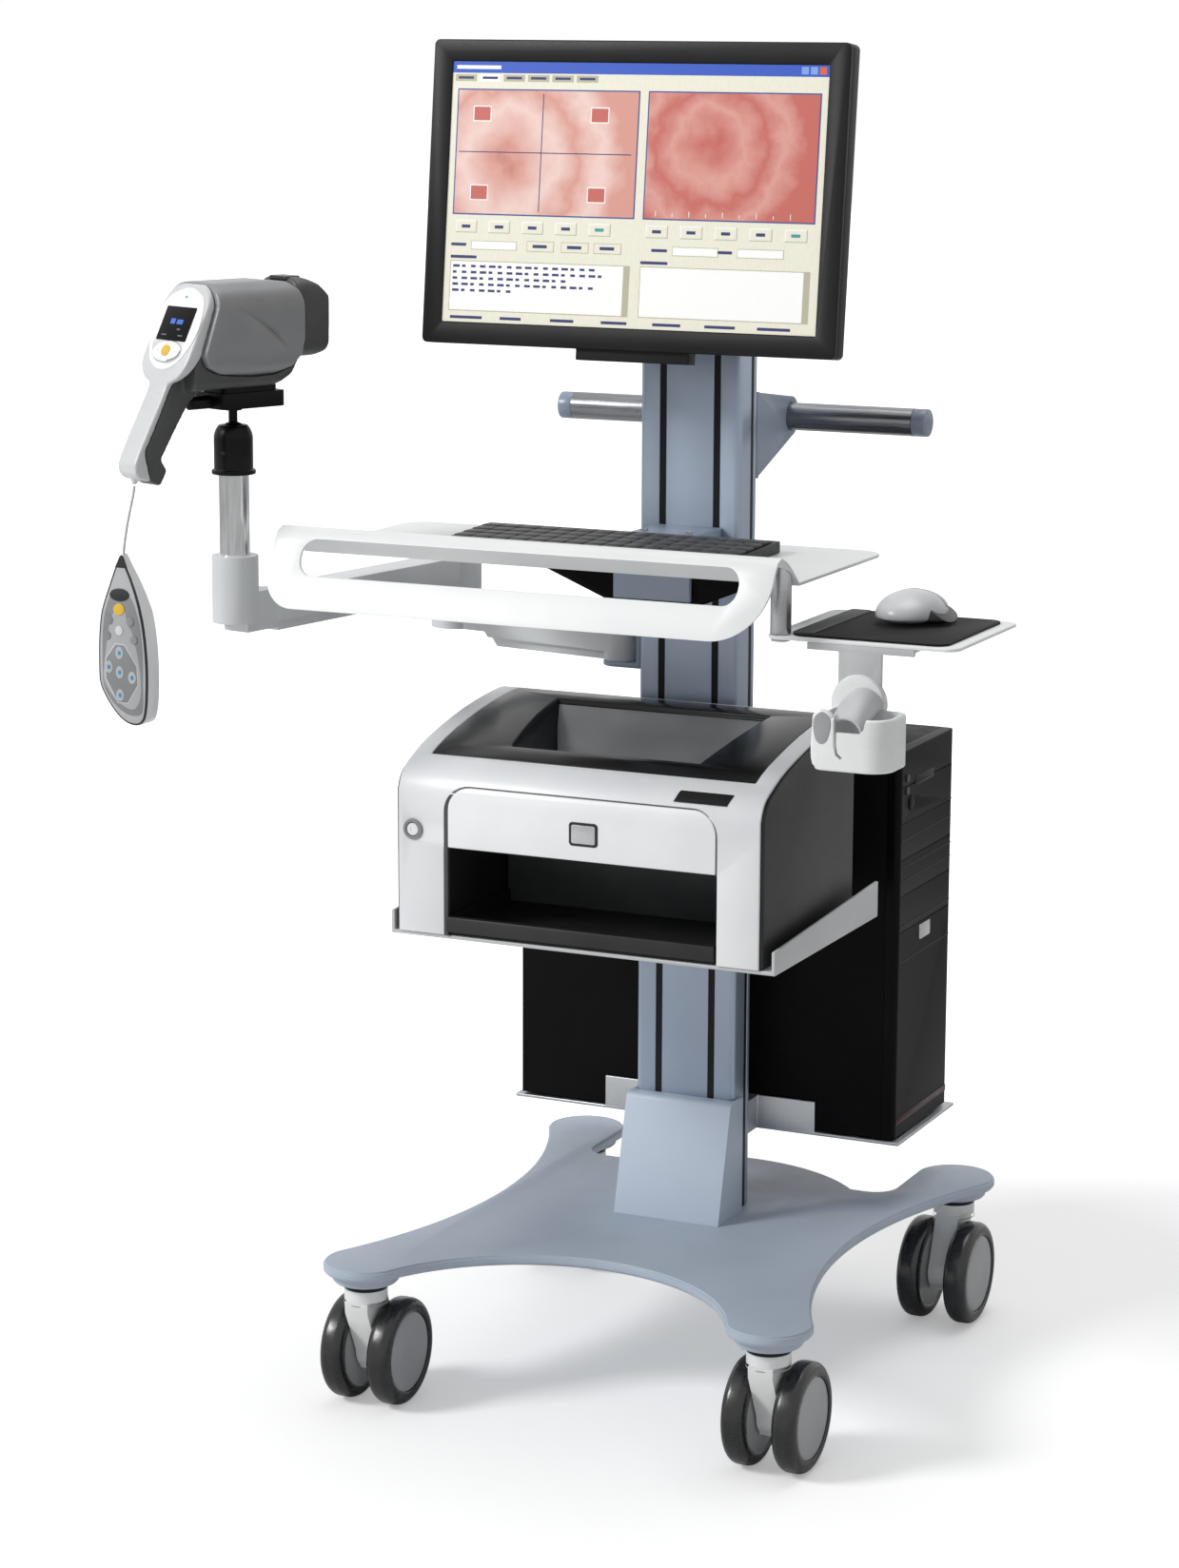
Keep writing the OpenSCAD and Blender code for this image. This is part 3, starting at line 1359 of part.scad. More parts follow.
// Bracket of the computer: floor, strap and the block on the column's rear
module pc_bracket() color("white") {
    strap_y = pc_y - strap_t - gap;
    box([pc_left - pc_base_out, strap_y, pc_shelf_z],
        [pc_right + pc_base_out, pc_y + pc_w + pc_base_out, pc_shelf_z + pc_base_t]);
    box([-strap_left, strap_y, pc_shelf_z], [strap_right, strap_y + strap_t, pc_shelf_z + strap_h]);
    box([shelf_flange_in - col_w / 2, col_rear, pc_shelf_z],
        [col_w / 2 - shelf_flange_in, strap_y, pc_shelf_z + strap_h]);
}
module pc_case() color("black") {
    front = pc_right - pc_face;
    difference() {
        box([pc_left, pc_y, pc_z], [front, pc_y + pc_w, pc_z + pc_h]);
        box([pc_left + pc_wall, pc_y + pc_wall, pc_z + pc_wall],
            [front - pc_wall, pc_y + pc_w - pc_wall, pc_z + pc_h - pc_wall]);
    }
    for (x = [pc_left + pc_foot_in, front - pc_foot_in])
        for (y = [pc_y + pc_foot_in, pc_y + pc_w - pc_foot_in])
            rod(x, y, pc_z - pc_foot_h, pc_z, pc_foot_w);
}
module pc_front() color("black") difference() {
    translate([0, 0, pc_z]) linear_extrude(pc_h) panel([pc_right - pc_face, pc_y],
        [pc_right, pc_y + pc_w], [0, pc_round, pc_round, 0]);
    for (i = [1:drive_lines]) let (z = pc_z + pc_h - i * drive_pitch)
        box([pc_right - drive_line, pc_y + pc_round, z],
            [pc_right + over, pc_y + pc_w - pc_round, z + drive_line]);
    rod_x(pc_right - pc_switch_t - switch_room, pc_right + over, pc_y + pc_switch_in,
        pc_z + pc_h - pc_switch_drop, pc_switch_d + 2 * gap);
}
module pc_button() color("gray") rod_x(pc_right - pc_switch_t, pc_right + switch_out,
    pc_y + pc_switch_in, pc_z + pc_h - pc_switch_drop, pc_switch_d);

base_plate();
castor_mounts();
castor_housing_fl();
castor_housing_fr();
castor_housing_rl();
castor_housing_rr();
castor_wheels_fl();
castor_wheels_fr();
castor_wheels_rl();
castor_wheels_rr();
column();
column_strips();
column_foot();
handle_bracket();
handle_bar();
handle_caps();
column_head();
monitor_yoke();
monitor_back();
monitor_frame();
monitor_screen();
tray_bracket();
tray_beam();
keyboard_tray();
keyboard_case();
keycaps();
mouse_post();
mouse_tray();
mouse_mat();
mouse();
mouse_button();
cradle_hanger();
cradle_cup();
arm_bracket();
arm_inner();
arm_outer();
arm_pole();
ball_housing();
ball();
ball_plate();
camera_shell();
camera_grip();
camera_face();
camera_hood();
camera_lens();
camera_display();
camera_keys();
remote_shell();
remote_keys();
remote_cord();
printer_shelf();
printer_case();
printer_cover();
printer_lid();
printer_tray();
printer_button();
pc_bracket();
pc_case();
pc_front();
pc_button();
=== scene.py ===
"""A video colposcope on a wheeled stand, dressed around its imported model.

Metres, +Z up, -Y towards the operator. Every piece is modelled where it belongs, sits at the
origin as an object and rides on the body that carries it.
"""

import json
from math import copysign, cos, hypot, pi, radians, sin, tau

import bpy
from mathutils import Matrix, Vector


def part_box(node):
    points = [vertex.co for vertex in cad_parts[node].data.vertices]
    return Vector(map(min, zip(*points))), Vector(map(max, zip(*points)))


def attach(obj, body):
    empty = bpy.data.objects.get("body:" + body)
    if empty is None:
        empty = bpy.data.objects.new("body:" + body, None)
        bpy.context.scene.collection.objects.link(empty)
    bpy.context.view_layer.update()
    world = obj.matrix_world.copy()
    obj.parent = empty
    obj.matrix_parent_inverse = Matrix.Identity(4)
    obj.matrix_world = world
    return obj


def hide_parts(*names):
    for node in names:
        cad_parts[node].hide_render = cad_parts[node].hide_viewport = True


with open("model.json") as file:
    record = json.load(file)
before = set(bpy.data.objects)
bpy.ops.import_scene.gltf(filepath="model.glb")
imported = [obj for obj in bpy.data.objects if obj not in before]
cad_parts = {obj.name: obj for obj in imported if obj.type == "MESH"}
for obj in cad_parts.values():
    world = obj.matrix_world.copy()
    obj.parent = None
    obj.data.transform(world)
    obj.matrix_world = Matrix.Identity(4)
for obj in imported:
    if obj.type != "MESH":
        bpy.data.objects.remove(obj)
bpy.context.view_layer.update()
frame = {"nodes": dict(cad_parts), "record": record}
record = frame["record"]

MM = 0.001
# Points closer than this are one, and faces that bend less than this are one
WELD = 0.002 * MM
FLAT = radians(0.4)
BODY_OF = {node: body for body, nodes in record["behaviour"]["bodies"].items() for node in nodes}


# Camera, solved from the photograph's frame of 1239 x 1648 pixels
PHOTO_H = 1648
FOCAL_PX = 4078.7
SENSOR = 36
CAMERA_AT = (1.4179, -3.2908, 1.2753)
AZIMUTH = radians(24.89)
PITCH = radians(11.44)
ROLL = radians(0.2)


def set_camera():
    """The photograph's own view: from the right front, a little above the trays"""
    ahead = Vector((-sin(AZIMUTH) * cos(PITCH), cos(AZIMUTH) * cos(PITCH),
                    -sin(PITCH)))
    level = Vector((cos(AZIMUTH), sin(AZIMUTH), 0))
    upright = level.cross(ahead)
    right = level * cos(ROLL) + upright * sin(ROLL)
    up = upright * cos(ROLL) - level * sin(ROLL)
    bpy.ops.object.camera_add(location=CAMERA_AT)
    camera = bpy.context.object
    turn = Matrix((right, up, -ahead)).transposed().to_4x4()
    camera.matrix_world = Matrix.Translation(CAMERA_AT) @ turn
    camera.data.sensor_width = SENSOR
    camera.data.lens = FOCAL_PX / PHOTO_H * SENSOR
    bpy.context.scene.camera = camera


# Materials

def colour(code):
    """The linear colour of an sRGB hex code"""
    parts = [int(code[i:i + 2], 16) / 255 for i in (1, 3, 5)]
    return [p / 12.92 if p <= 0.04045 else ((p + 0.055) / 1.055) ** 2.4 for p in parts] + [1]


def add(tree, kind, settings=None, inputs=None):
    """Adds a shader node with its settings and with values or links for its inputs"""
    node = tree.nodes.new("ShaderNode" + kind)
    for key, value in (settings or {}).items():
        setattr(node, key, value)
    for key, value in (inputs or {}).items():
        if isinstance(value, bpy.types.NodeSocket):
            tree.links.new(value, node.inputs[key])
        else:
            node.inputs[key].default_value = value
    return node


def new_finish(name, **sockets):
    """A material, its node tree, its shader and the piece's own coordinates"""
    material = bpy.data.materials.new(name)
    material.use_nodes = True
    tree = material.node_tree
    shader = tree.nodes["Principled BSDF"]
    for key, value in sockets.items():
        shader.inputs[key.replace("_", " ")].default_value = value
    return material, tree, shader, add(tree, "TexCoord").outputs["Object"]


def noise(tree, place, size_mm, detail=2.0, stretch=None):
    """Noise with features of a real size, stretched along an axis if asked"""
    if stretch:
        place = add(tree, "Mapping", None, {"Vector": place, "Scale": stretch}).outputs["Vector"]
    return add(tree, "TexNoise", None, {"Vector": place, "Scale": 1 / (size_mm * MM),
                                        "Detail": detail}).outputs["Fac"]


def mottle(tree, shader, factor, light, dark):
    """Two shades of one colour, mixed by a pattern"""
    soft = add(tree, "MapRange", None, {"Value": factor, "From Min": 0.35, "From Max": 0.65})
    mix = add(tree, "Mix", {"data_type": "RGBA"}, {"Factor": soft.outputs["Result"],
                                                   6: colour(dark), 7: colour(light)})
    tree.links.new(mix.outputs[2], shader.inputs["Base Color"])


def sheen_range(tree, shader, factor, low, high):
    """Roughness that varies a little over the surface"""
    spread = add(tree, "MapRange", None, {"Value": factor, "From Min": 0.3, "From Max": 0.7,
                                          "To Min": low, "To Max": high})
    tree.links.new(spread.outputs["Result"], shader.inputs["Roughness"])


def relief(tree, shader, height, depth_mm, strength=1.0):
    """Bump of a real depth"""
    bump = add(tree, "Bump", None, {"Height": height, "Distance": depth_mm * MM,
                                    "Strength": strength})
    tree.links.new(bump.outputs["Normal"], shader.inputs["Normal"])


def powder_coat(name, light, dark, rough=0.36, shine=0.5):
    """Polyester powder on steel: satin, with the faint orange peel of a baked coat"""
    material, tree, shader, place = new_finish(name, IOR=1.5, Specular_IOR_Level=shine)
    mottle(tree, shader, noise(tree, place, 90), light, dark)
    sheen_range(tree, shader, noise(tree, place, 14), rough, rough + 0.08)
    relief(tree, shader, noise(tree, place, 2.2, 1.0), 0.03, 0.6)
    return material


def anodised(name, light, dark):
    """Anodised aluminium extrusion: satin metal with fine draw lines along Z"""
    material, tree, shader, place = new_finish(name, Metallic=0.55)
    lines = noise(tree, place, 0.9, 3.0, (1, 1, 0.006))
    mottle(tree, shader, noise(tree, place, 160, 2.0, (1, 1, 0.5)), light, dark)
    sheen_range(tree, shader, lines, 0.34, 0.46)
    relief(tree, shader, lines, 0.01, 0.5)
    return material


def moulded(name, light, dark, rough=0.42, shine=0.5, grain_mm=0.7, depth_mm=0.03):
    """Injection-moulded plastic with a spark-eroded grain"""
    material, tree, shader, place = new_finish(name, IOR=1.53, Specular_IOR_Level=shine)
    grain = noise(tree, place, grain_mm, 1.0)
    mottle(tree, shader, noise(tree, place, 45), light, dark)
    sheen_range(tree, shader, grain, rough - 0.04, rough + 0.06)
    relief(tree, shader, grain, depth_mm, 0.5)
    return material


def glossy(name, light, dark, rough=0.12, shine=0.5):
    """Polished plastic or lacquer: a smooth skin with slight waves from the mould"""
    material, tree, shader, place = new_finish(name, IOR=1.5, Specular_IOR_Level=shine)
    mottle(tree, shader, noise(tree, place, 60), light, dark)
    sheen_range(tree, shader, noise(tree, place, 25), rough, rough + 0.06)
    relief(tree, shader, noise(tree, place, 30, 0.0), 0.02, 0.4)
    return material


def metal(name, light, dark, rough, stretch):
    """Bare metal with its grinding lines along one axis"""
    material, tree, shader, place = new_finish(name, Metallic=1.0)
    lines = noise(tree, place, 0.7, 3.0, stretch)
    mottle(tree, shader, lines, light, dark)
    sheen_range(tree, shader, lines, rough, rough + 0.1)
    relief(tree, shader, lines, 0.006, 0.4)
    return material


def tread(name):
    """Black polyurethane tread: smooth from the mould, a little dusty"""
    material, tree, shader, place = new_finish(name, IOR=1.52)
    mottle(tree, shader, noise(tree, place, 12, 4.0), "#1e1f21", "#161718")
    sheen_range(tree, shader, noise(tree, place, 6), 0.2, 0.3)
    relief(tree, shader, noise(tree, place, 1.6), 0.02, 0.4)
    return material


def mat_cloth(name):
    """Knitted nylon over rubber; the 1 mm knit is drawn at 1.8 mm so that it shows"""
    material, tree, shader, place = new_finish(name, Sheen_Weight=0.06, Sheen_Roughness=0.4,
                                                Specular_IOR_Level=0.15)
    pitch = 1.8
    rows = [add(tree, "TexWave", {"bands_direction": axis},
                {"Vector": place, "Scale": 0.314 / (pitch * MM), "Distortion": 0.6})
            for axis in ("X", "Y")]
    knit = add(tree, "Math", {"operation": "MULTIPLY"},
               {0: rows[0].outputs["Fac"], 1: rows[1].outputs["Fac"]}).outputs[0]
    mottle(tree, shader, knit, "#161617", "#0c0c0d")
    sheen_range(tree, shader, knit, 0.7, 0.85)
    relief(tree, shader, knit, 0.15, 0.7)
    return material


def lit(name, code, glow=0.1):
    """A lit patch of a display: its own colour with a faint pixel rows' ripple"""
    material, tree, shader, place = new_finish(name, IOR=1.5, Roughness=0.35)
    shade = colour(code)
    mottle(tree, shader, noise(tree, place, 1.2, 0.0, (1, 1, 0.2)),
           code, "#" + "".join(f"{int(int(code[i:i + 2], 16) * 0.985):02x}" for i in (1, 3, 5)))
    shader.inputs["Emission Color"].default_value = shade
    shader.inputs["Emission Strength"].default_value = glow
    return material


def tissue(name, centre, reach, hot, mid, pale):
    """A generic pink specimen picture: soft rings round a centre, broken up by noise"""
    material, tree, shader, place = new_finish(name, IOR=1.5, Roughness=0.35)
    wobble = add(tree, "TexNoise", None, {"Vector": place, "Scale": 1 / (22 * MM), "Detail": 4.0})
    pushed = add(tree, "VectorMath", {"operation": "MULTIPLY_ADD"},
                 {0: wobble.outputs["Color"], 1: (0.035, 0.035, 0.035), 2: place})
    there = add(tree, "VectorMath", {"operation": "DISTANCE"},
                {0: pushed.outputs[0], 1: centre})
    share = add(tree, "MapRange", None, {"Value": there.outputs["Value"], "From Max": reach})
    ramp = add(tree, "ValToRGB", None, {"Fac": share.outputs["Result"]})
    stops = ramp.color_ramp.elements
    stops[0].color = colour(hot)
    stops[1].color = colour(mid)
    for spot, code in ((0.18, mid), (0.42, pale), (0.62, mid), (0.8, pale)):
        stops.new(spot).color = colour(code)
    tree.links.new(ramp.outputs["Color"], shader.inputs["Base Color"])
    shader.inputs["Emission Color"].default_value = colour(mid)
    shader.inputs["Emission Strength"].default_value = 0.08
    return material


FINISH = {
    "bracket steel": metal("satin_steel_sheet", "#b3b6b9", "#a4a7ab", 0.34, (1, 0.03, 1)),
    "base blue": powder_coat("powder_coat_pale_blue", "#b0bbca", "#abb6c5", 0.42),
    "foot blue": powder_coat("powder_coat_ice_blue", "#c3cede", "#becad9", 0.42),
    "bracket blue": powder_coat("powder_coat_slate_blue", "#98a4b5", "#919daf", 0.44),
    "white sheet": powder_coat("powder_coat_white", "#eceeee", "#e7eaea", 0.34),
    "grey sheet": powder_coat("powder_coat_light_grey", "#c6c8c9", "#c0c2c4", 0.38),
    "link grey": powder_coat("enamel_silver_grey", "#d4d6d8", "#cdd0d2", 0.32),
    "black steel": powder_coat("powder_coat_black", "#0c0c0d", "#080809", 0.46, 0.07),
    "column": anodised("anodised_aluminium_blue_grey", "#a8b3c4", "#9da9bb"),
    "strip": moulded("extruded_pvc_black", "#101011", "#09090a", 0.5, 0.2),
    "black plastic": moulded("abs_black_fine_grain", "#1a1a1b", "#151516", 0.42, 0.18),
    "deep black": moulded("abs_jet_black", "#0b0b0c", "#070708", 0.42, 0.07),
    "head black": moulded("abs_satin_black", "#0a0a0b", "#070708", 0.34, 0.14),
    "key plastic": moulded("abs_key_charcoal", "#242527", "#1d1e1f", 0.46, 0.35, 0.5),
    "printer black": glossy("abs_gloss_black", "#141415", "#0f0f10", 0.2, 0.3),
    "printer dark": moulded("abs_dark_grey", "#2a2a2b", "#222223", 0.44, 0.3),
    "printer white": moulded("abs_cool_white", "#e9ebed", "#e5e7ea", 0.36),
    "door white": moulded("abs_pure_white", "#f1f2f3", "#eceeef", 0.32),
    "well grey": moulded("abs_mid_grey", "#87888a", "#7d7e80", 0.4, 0.4),
    "bay grey": moulded("abs_bay_grey", "#606365", "#585b5d", 0.42, 0.2),
    "groove grey": moulded("abs_groove_grey", "#4a4c4e", "#404244", 0.42, 0.3),
    "castor nylon": moulded("nylon_off_white", "#ebeded", "#e3e5e5", 0.3),
    "castor disc": moulded("nylon_disc_grey", "#a6a8aa", "#9ea0a2", 0.34),
    "tread": tread("polyurethane_tread"),
    "chrome": metal("chromed_steel_tube", "#eceded", "#d8d9db", 0.12, (1, 1, 0.02)),
    "bar steel": metal("brushed_steel_bar", "#8f9194", "#77797d", 0.24, (0.02, 1, 1)),
    "turned steel": metal("turned_steel", "#b4b6b8", "#98999b", 0.26, (1, 1, 1)),
    "cap blue": glossy("polyamide_cap_slate", "#8d98ab", "#808b9e", 0.25),
    "camera grey": moulded("camera_shell_mid_grey", "#8b8d8f", "#848688", 0.34, 0.4, 0.6),
    "camera dark": moulded("camera_grip_dark_grey", "#4c4d4e", "#444546", 0.42, 0.35, 0.6),
    "camera rim": glossy("camera_rim_silver", "#cfd1d2", "#c8cacb", 0.26, 0.35),
    "camera white": glossy("camera_face_white", "#f6f7f7", "#f1f2f3", 0.16),
    "cup white": glossy("cup_polycarbonate_white", "#eef0f0", "#e8eaea", 0.24),
    "display glass": glossy("display_glass_black", "#050506", "#020203", 0.12, 0.12),
    "lens glass": glossy("coated_lens_glass", "#101526", "#080b14", 0.03),
    "key yellow": glossy("key_amber", "#e3b93a", "#d6a92c", 0.22),
    "key light": glossy("key_light_grey", "#d4d6d8", "#c9cbcd", 0.25),
    "key mid": moulded("key_mid_grey", "#8d8f91", "#808284", 0.36),
    "key dark": glossy("key_dark_grey", "#303133", "#27282a", 0.25, 0.35),
    "mark blue": glossy("print_blue", "#3f8fc4", "#3781b4", 0.3),
    "remote silver": moulded("silver_lacquer", "#b4b6b8", "#acaeb0", 0.3),
    "remote white": glossy("remote_wall_white", "#f4f5f6", "#eef0f1", 0.22),
    "remote field": moulded("remote_field_grey", "#86888a", "#7e8082", 0.36),
    "remote pale": moulded("remote_field_pale", "#acaeb0", "#a4a6a8", 0.36),
    "cord": moulded("pvc_cord_grey", "#c3c4c5", "#b9bbbc", 0.4),
    "mat": mat_cloth("knitted_mat_black"),
    "mouse shell": glossy("mouse_shell_silver_grey", "#cfd1d3", "#c2c4c7", 0.28),
    "mouse dark": moulded("mouse_side_charcoal", "#19191a", "#131314", 0.4, 0.3),
    "pad rubber": moulded("tpe_pad_grey", "#a3a5a7", "#999b9d", 0.55, 0.35, 1.2, 0.06),
    "red strip": glossy("lacquer_dark_red", "#34080c", "#280609", 0.3, 0.15),
    "badge silver": metal("badge_satin_silver", "#c4c6c8", "#b2b4b6", 0.22, (1, 1, 1)),
}


# Modelling

def pick(*pieces):
    """Leaves edit mode and selects only these pieces, the first one active"""
    if bpy.context.mode != "OBJECT":
        bpy.ops.object.mode_set(mode="OBJECT")
    bpy.ops.object.select_all(action="DESELECT")
    for piece in pieces:
        piece.select_set(True)
    bpy.context.view_layer.objects.active = pieces[0]


def edit(piece):
    """Edit mode with the whole piece selected"""
    pick(piece)
    bpy.ops.object.mode_set(mode="EDIT")
    bpy.ops.mesh.select_all(action="SELECT")


def done(piece):
    bpy.ops.object.mode_set(mode="OBJECT")
    return piece


def modify(piece, kind, **settings):
    """Adds a modifier with its settings and applies it"""
    pick(piece)
    modifier = piece.modifiers.new(kind.lower(), kind)
    for key, value in settings.items():
        setattr(modifier, key, value)
    bpy.ops.object.modifier_apply(modifier=modifier.name)


def carve(piece, tool):
    """Takes the tool's shape out of the piece"""
    modify(piece, "BOOLEAN", operation="DIFFERENCE", object=tool, solver="EXACT")
    bpy.data.objects.remove(tool)
    return piece


def round_edges(piece, edge, steps=2, angle=32):
    """Breaks every edge sharper than the angle and smooths what lies between"""
    if edge:
        modify(piece, "BEVEL", width=edge, segments=steps, limit_method="ANGLE",
               angle_limit=radians(angle), miter_outer="MITER_ARC")
    pick(piece)
    bpy.ops.object.shade_smooth_by_angle(angle=radians(38))
    return piece


def at(origin=(0, 0, 0), across=(1, 0, 0), up=(0, 0, 1)):
    """A place with its own X across, Y up and Z out of the surface"""
    across, up = Vector(across).normalized(), Vector(up).normalized()
    turn = Matrix((across, up, across.cross(up))).transposed().to_4x4()
    return Matrix.Translation(origin) @ turn


def shift(x, y, z):
    """A move by distances in mm"""
    return Matrix.Translation((x * MM, y * MM, z * MM))


def facing(x, y, z, across=(1, 0, 0), up=(0, 0, 1)):
    """A place with its origin in mm"""
    return at((x * MM, y * MM, z * MM), across, up)


def put(piece, place):
    """Moves a piece's mesh to its place and leaves its object at the origin"""
    pick(piece)
    piece.matrix_world = place @ piece.matrix_world
    bpy.ops.object.transform_apply(location=True, rotation=True, scale=True)
    return piece


def crease(piece, point, normal):
    """Cuts a line of edges through a piece, so that its faces can bend there"""
    edit(piece)
    bpy.ops.mesh.bisect(plane_co=point, plane_no=normal)
    return done(piece)


def trim(piece, point, normal, side):
    """Cuts off one side of a plane through a point in mm and closes the cut"""
    edit(piece)
    bpy.ops.mesh.bisect(plane_co=Vector(point) * MM, plane_no=normal, use_fill=True, **{side: True})
    return done(piece)


def seat(piece, name, finish, node, instead=False):
    """Names a piece, gives it its finish and lets it ride with a node's body"""
    piece.name = name
    piece.data.name = name
    piece.data.materials.clear()
    piece.data.materials.append(FINISH[finish])
    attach(piece, BODY_OF[node])
    if instead:
        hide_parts(node)
    return piece


def linked(data):
    """A new object in the scene for a mesh or a curve"""
    piece = bpy.data.objects.new(data.name, data)
    bpy.context.collection.objects.link(piece)
    return piece


def merged(node):
    """A copy of a node's solid with its loose triangles merged into whole faces"""
    piece = linked(frame["nodes"][node].data.copy())
    edit(piece)
    bpy.ops.mesh.remove_doubles(threshold=WELD)
    bpy.ops.mesh.dissolve_limited(angle_limit=FLAT)
    return done(piece)


def dress(node, finish, edge=0.8, steps=2, name=None):
    """A node's own solid with broken edges and its finish"""
    piece = round_edges(merged(node), edge * MM, steps)
    return seat(piece, name or node + "_body", finish, node, instead=True)


def soft(node, finish, voxel, rounds, name=None, place=None, instead=True):
    """A node's own solid remeshed finely and relaxed, for a form without sharp edges"""
    piece = merged(node)
    if place:
        put(piece, place)
    modify(piece, "REMESH", mode="VOXEL", voxel_size=voxel * MM)
    modify(piece, "SMOOTH", factor=0.5, iterations=rounds)
    pick(piece)
    bpy.ops.object.shade_smooth()
    return seat(piece, name or node + "_body", finish, node, instead)


def paint(node, finish):
    """A node whose solid is right as it is gets its finish"""
    mesh = frame["nodes"][node].data
    mesh.materials.clear()
    mesh.materials.append(FINISH[finish])


def cut(outline, low, high, edge=0.3, steps=2):
    """A plate in mm, cut to an outline, standing from low to high out of its own XY plane"""
    depth = (high - low) * MM
    curve = bpy.data.curves.new("plate", "CURVE")
    curve.dimensions = "2D"
    curve.fill_mode = "BOTH"
    curve.extrude = depth / 2
    spline = curve.splines.new("POLY")
    spline.points.add(len(outline) - 1)
    for point, (x, y) in zip(spline.points, outline):
        point.co = (x * MM, y * MM, 0, 1)
    spline.use_cyclic_u = True
    pick(linked(curve))
    bpy.ops.object.convert(target="MESH")
    piece = bpy.context.object
    edit(piece)
    bpy.ops.mesh.remove_doubles(threshold=WELD)
    bpy.ops.mesh.dissolve_limited(angle_limit=FLAT)
    bpy.ops.mesh.normals_make_consistent(inside=False)
    done(piece)
    put(piece, Matrix.Translation((0, 0, depth / 2)))
    round_edges(piece, edge * MM, steps)
    return put(piece, shift(0, 0, low)) if low else piece


def turned(profile, steps=48, edge=0, place=None):
    """A turned piece about its Z axis from a closed profile of radii and heights in mm"""
    mesh = bpy.data.meshes.new("turned")
    points = [(r * MM, 0, z * MM) for r, z in profile]
    mesh.from_pydata(points, [(i, (i + 1) % len(points)) for i in range(len(points))], [])
    piece = linked(mesh)
    edit(piece)
    bpy.ops.mesh.spin(steps=steps, angle=tau, center=(0, 0, 0), axis=(0, 0, 1))
    bpy.ops.mesh.select_all(action="SELECT")
    bpy.ops.mesh.remove_doubles(threshold=WELD)
    bpy.ops.mesh.delete_loose()
    bpy.ops.mesh.select_all(action="SELECT")
    bpy.ops.mesh.normals_make_consistent(inside=False)
    done(piece)
    if place:
        put(piece, place)
    return round_edges(piece, edge * MM)


def block(low, high, edge=0.4, steps=2):
    """A box between two corners in mm, with its edges broken"""
    size = [(b - a) * MM for a, b in zip(low, high)]
    middle = [(b + a) / 2 * MM for a, b in zip(low, high)]
    pick(frame["nodes"]["column"])
    bpy.ops.object.select_all(action="DESELECT")
    bpy.ops.mesh.primitive_cube_add(size=1, location=middle)
    piece = bpy.context.object
    piece.scale = size
    bpy.ops.object.transform_apply(location=True, rotation=True, scale=True)
    return round_edges(piece, edge * MM, steps)


def oval(half_w, half_h, count=40, centre=(0, 0)):
    """Outline of an ellipse in mm"""
    return [(centre[0] + half_w * cos(tau * k / count),
             centre[1] + half_h * sin(tau * k / count)) for k in range(count)]


def rounded(x0, y0, x1, y1, radii, count=8):
    """Outline of a rectangle in mm with four corner radii, from the lower left"""
    points = []
    corners = [(x0, y0, 1, 1, 180), (x1, y0, -1, 1, 270), (x1, y1, -1, -1, 0), (x0, y1, 1, -1, 90)]
    for (x, y, sx, sy, start), r in zip(corners, radii):
        for k in range(count + 1 if r else 1):
            a = radians(start + 90 * k / count)
            points.append((x + sx * r + r * cos(a), y + sy * r + r * sin(a)) if r
                          else (x, y))
    return points


def smooth_line(points, steps=6):
    """A smooth closed line through a few points"""
    n = len(points)
    line = []
    for i in range(n):
        a, b, c, d = (Vector(points[(i + k - 1) % n]) for k in range(4))
        for k in range(steps):
            t = k / steps
            line.append(tuple(0.5 * (2 * b + (c - a) * t + (2 * a - 5 * b + 4 * c - d) * t * t
                                     + (3 * b - a - 3 * c + d) * t ** 3)))
    return line


def arc_points(centre, radius, start, end, count):
    """Points of an arc of a profile, angles in degrees"""
    return [(centre[0] + radius * cos(radians(start + (end - start) * k / count)),
             centre[1] + radius * sin(radians(start + (end - start) * k / count)))
            for k in range(count + 1)]


def screw(name, place, node, radius=3.0, finish="turned steel"):
    """A socket head screw: a turned head with a round socket, out of the surface"""
    head = turned([(0, -1), (radius, -1), (radius, radius * 0.6), (radius * 0.85, radius * 0.75),
                   (radius * 0.55, radius * 0.75), (radius * 0.55, radius * 0.2),
                   (0, radius * 0.2)], 24, 0, place)
    return seat(head, name, finish, node)


# Camera head's own frame: X along its view, Z up
LOOK = radians(68)
HEAD = Matrix.Translation((-0.326, -0.290, 0)) @ Matrix.Rotation(LOOK, 4, "Z")
# Cord's route in that frame: along the view and up
CORD_ROUTE = [(-110, 856), (-110.6, 852), (-111.6, 848), (-112.8, 843.5), (-114.1, 839),
              (-115.4, 834.5), (-116.6, 830), (-117.8, 825.5), (-118.9, 821), (-119.9, 816.5),
              (-120.8, 812), (-121.6, 808), (-122.3, 804), (-122.8, 800), (-123, 796)]
CORD_D = 2.4 * MM


def hang_cord():
    """The remote's thin lead, from the gland under the grip to the remote's tip"""
    points = [HEAD @ Vector((u * MM, 0, z * MM)) for u, z in CORD_ROUTE]
    curve = bpy.data.curves.new("remote_lead", "CURVE")
    curve.dimensions = "3D"
    curve.bevel_depth = CORD_D / 2
    curve.bevel_resolution = 4
    curve.use_fill_caps = True
    spline = curve.splines.new("POLY")
    spline.points.add(len(points) - 1)
    for point, co in zip(spline.points, points):
        point.co = (*co, 1)
    lead = seat(linked(curve), "remote_lead", "cord", "remote_cord", instead=True)


# Stand

CASTORS = {"fl": (-200, -288, 1), "fr": (200, -288, 1), "rl": (-200, 192, -1), "rr": (200, 192, -1)}
TRAIL = 20
AXLE_Z = 50


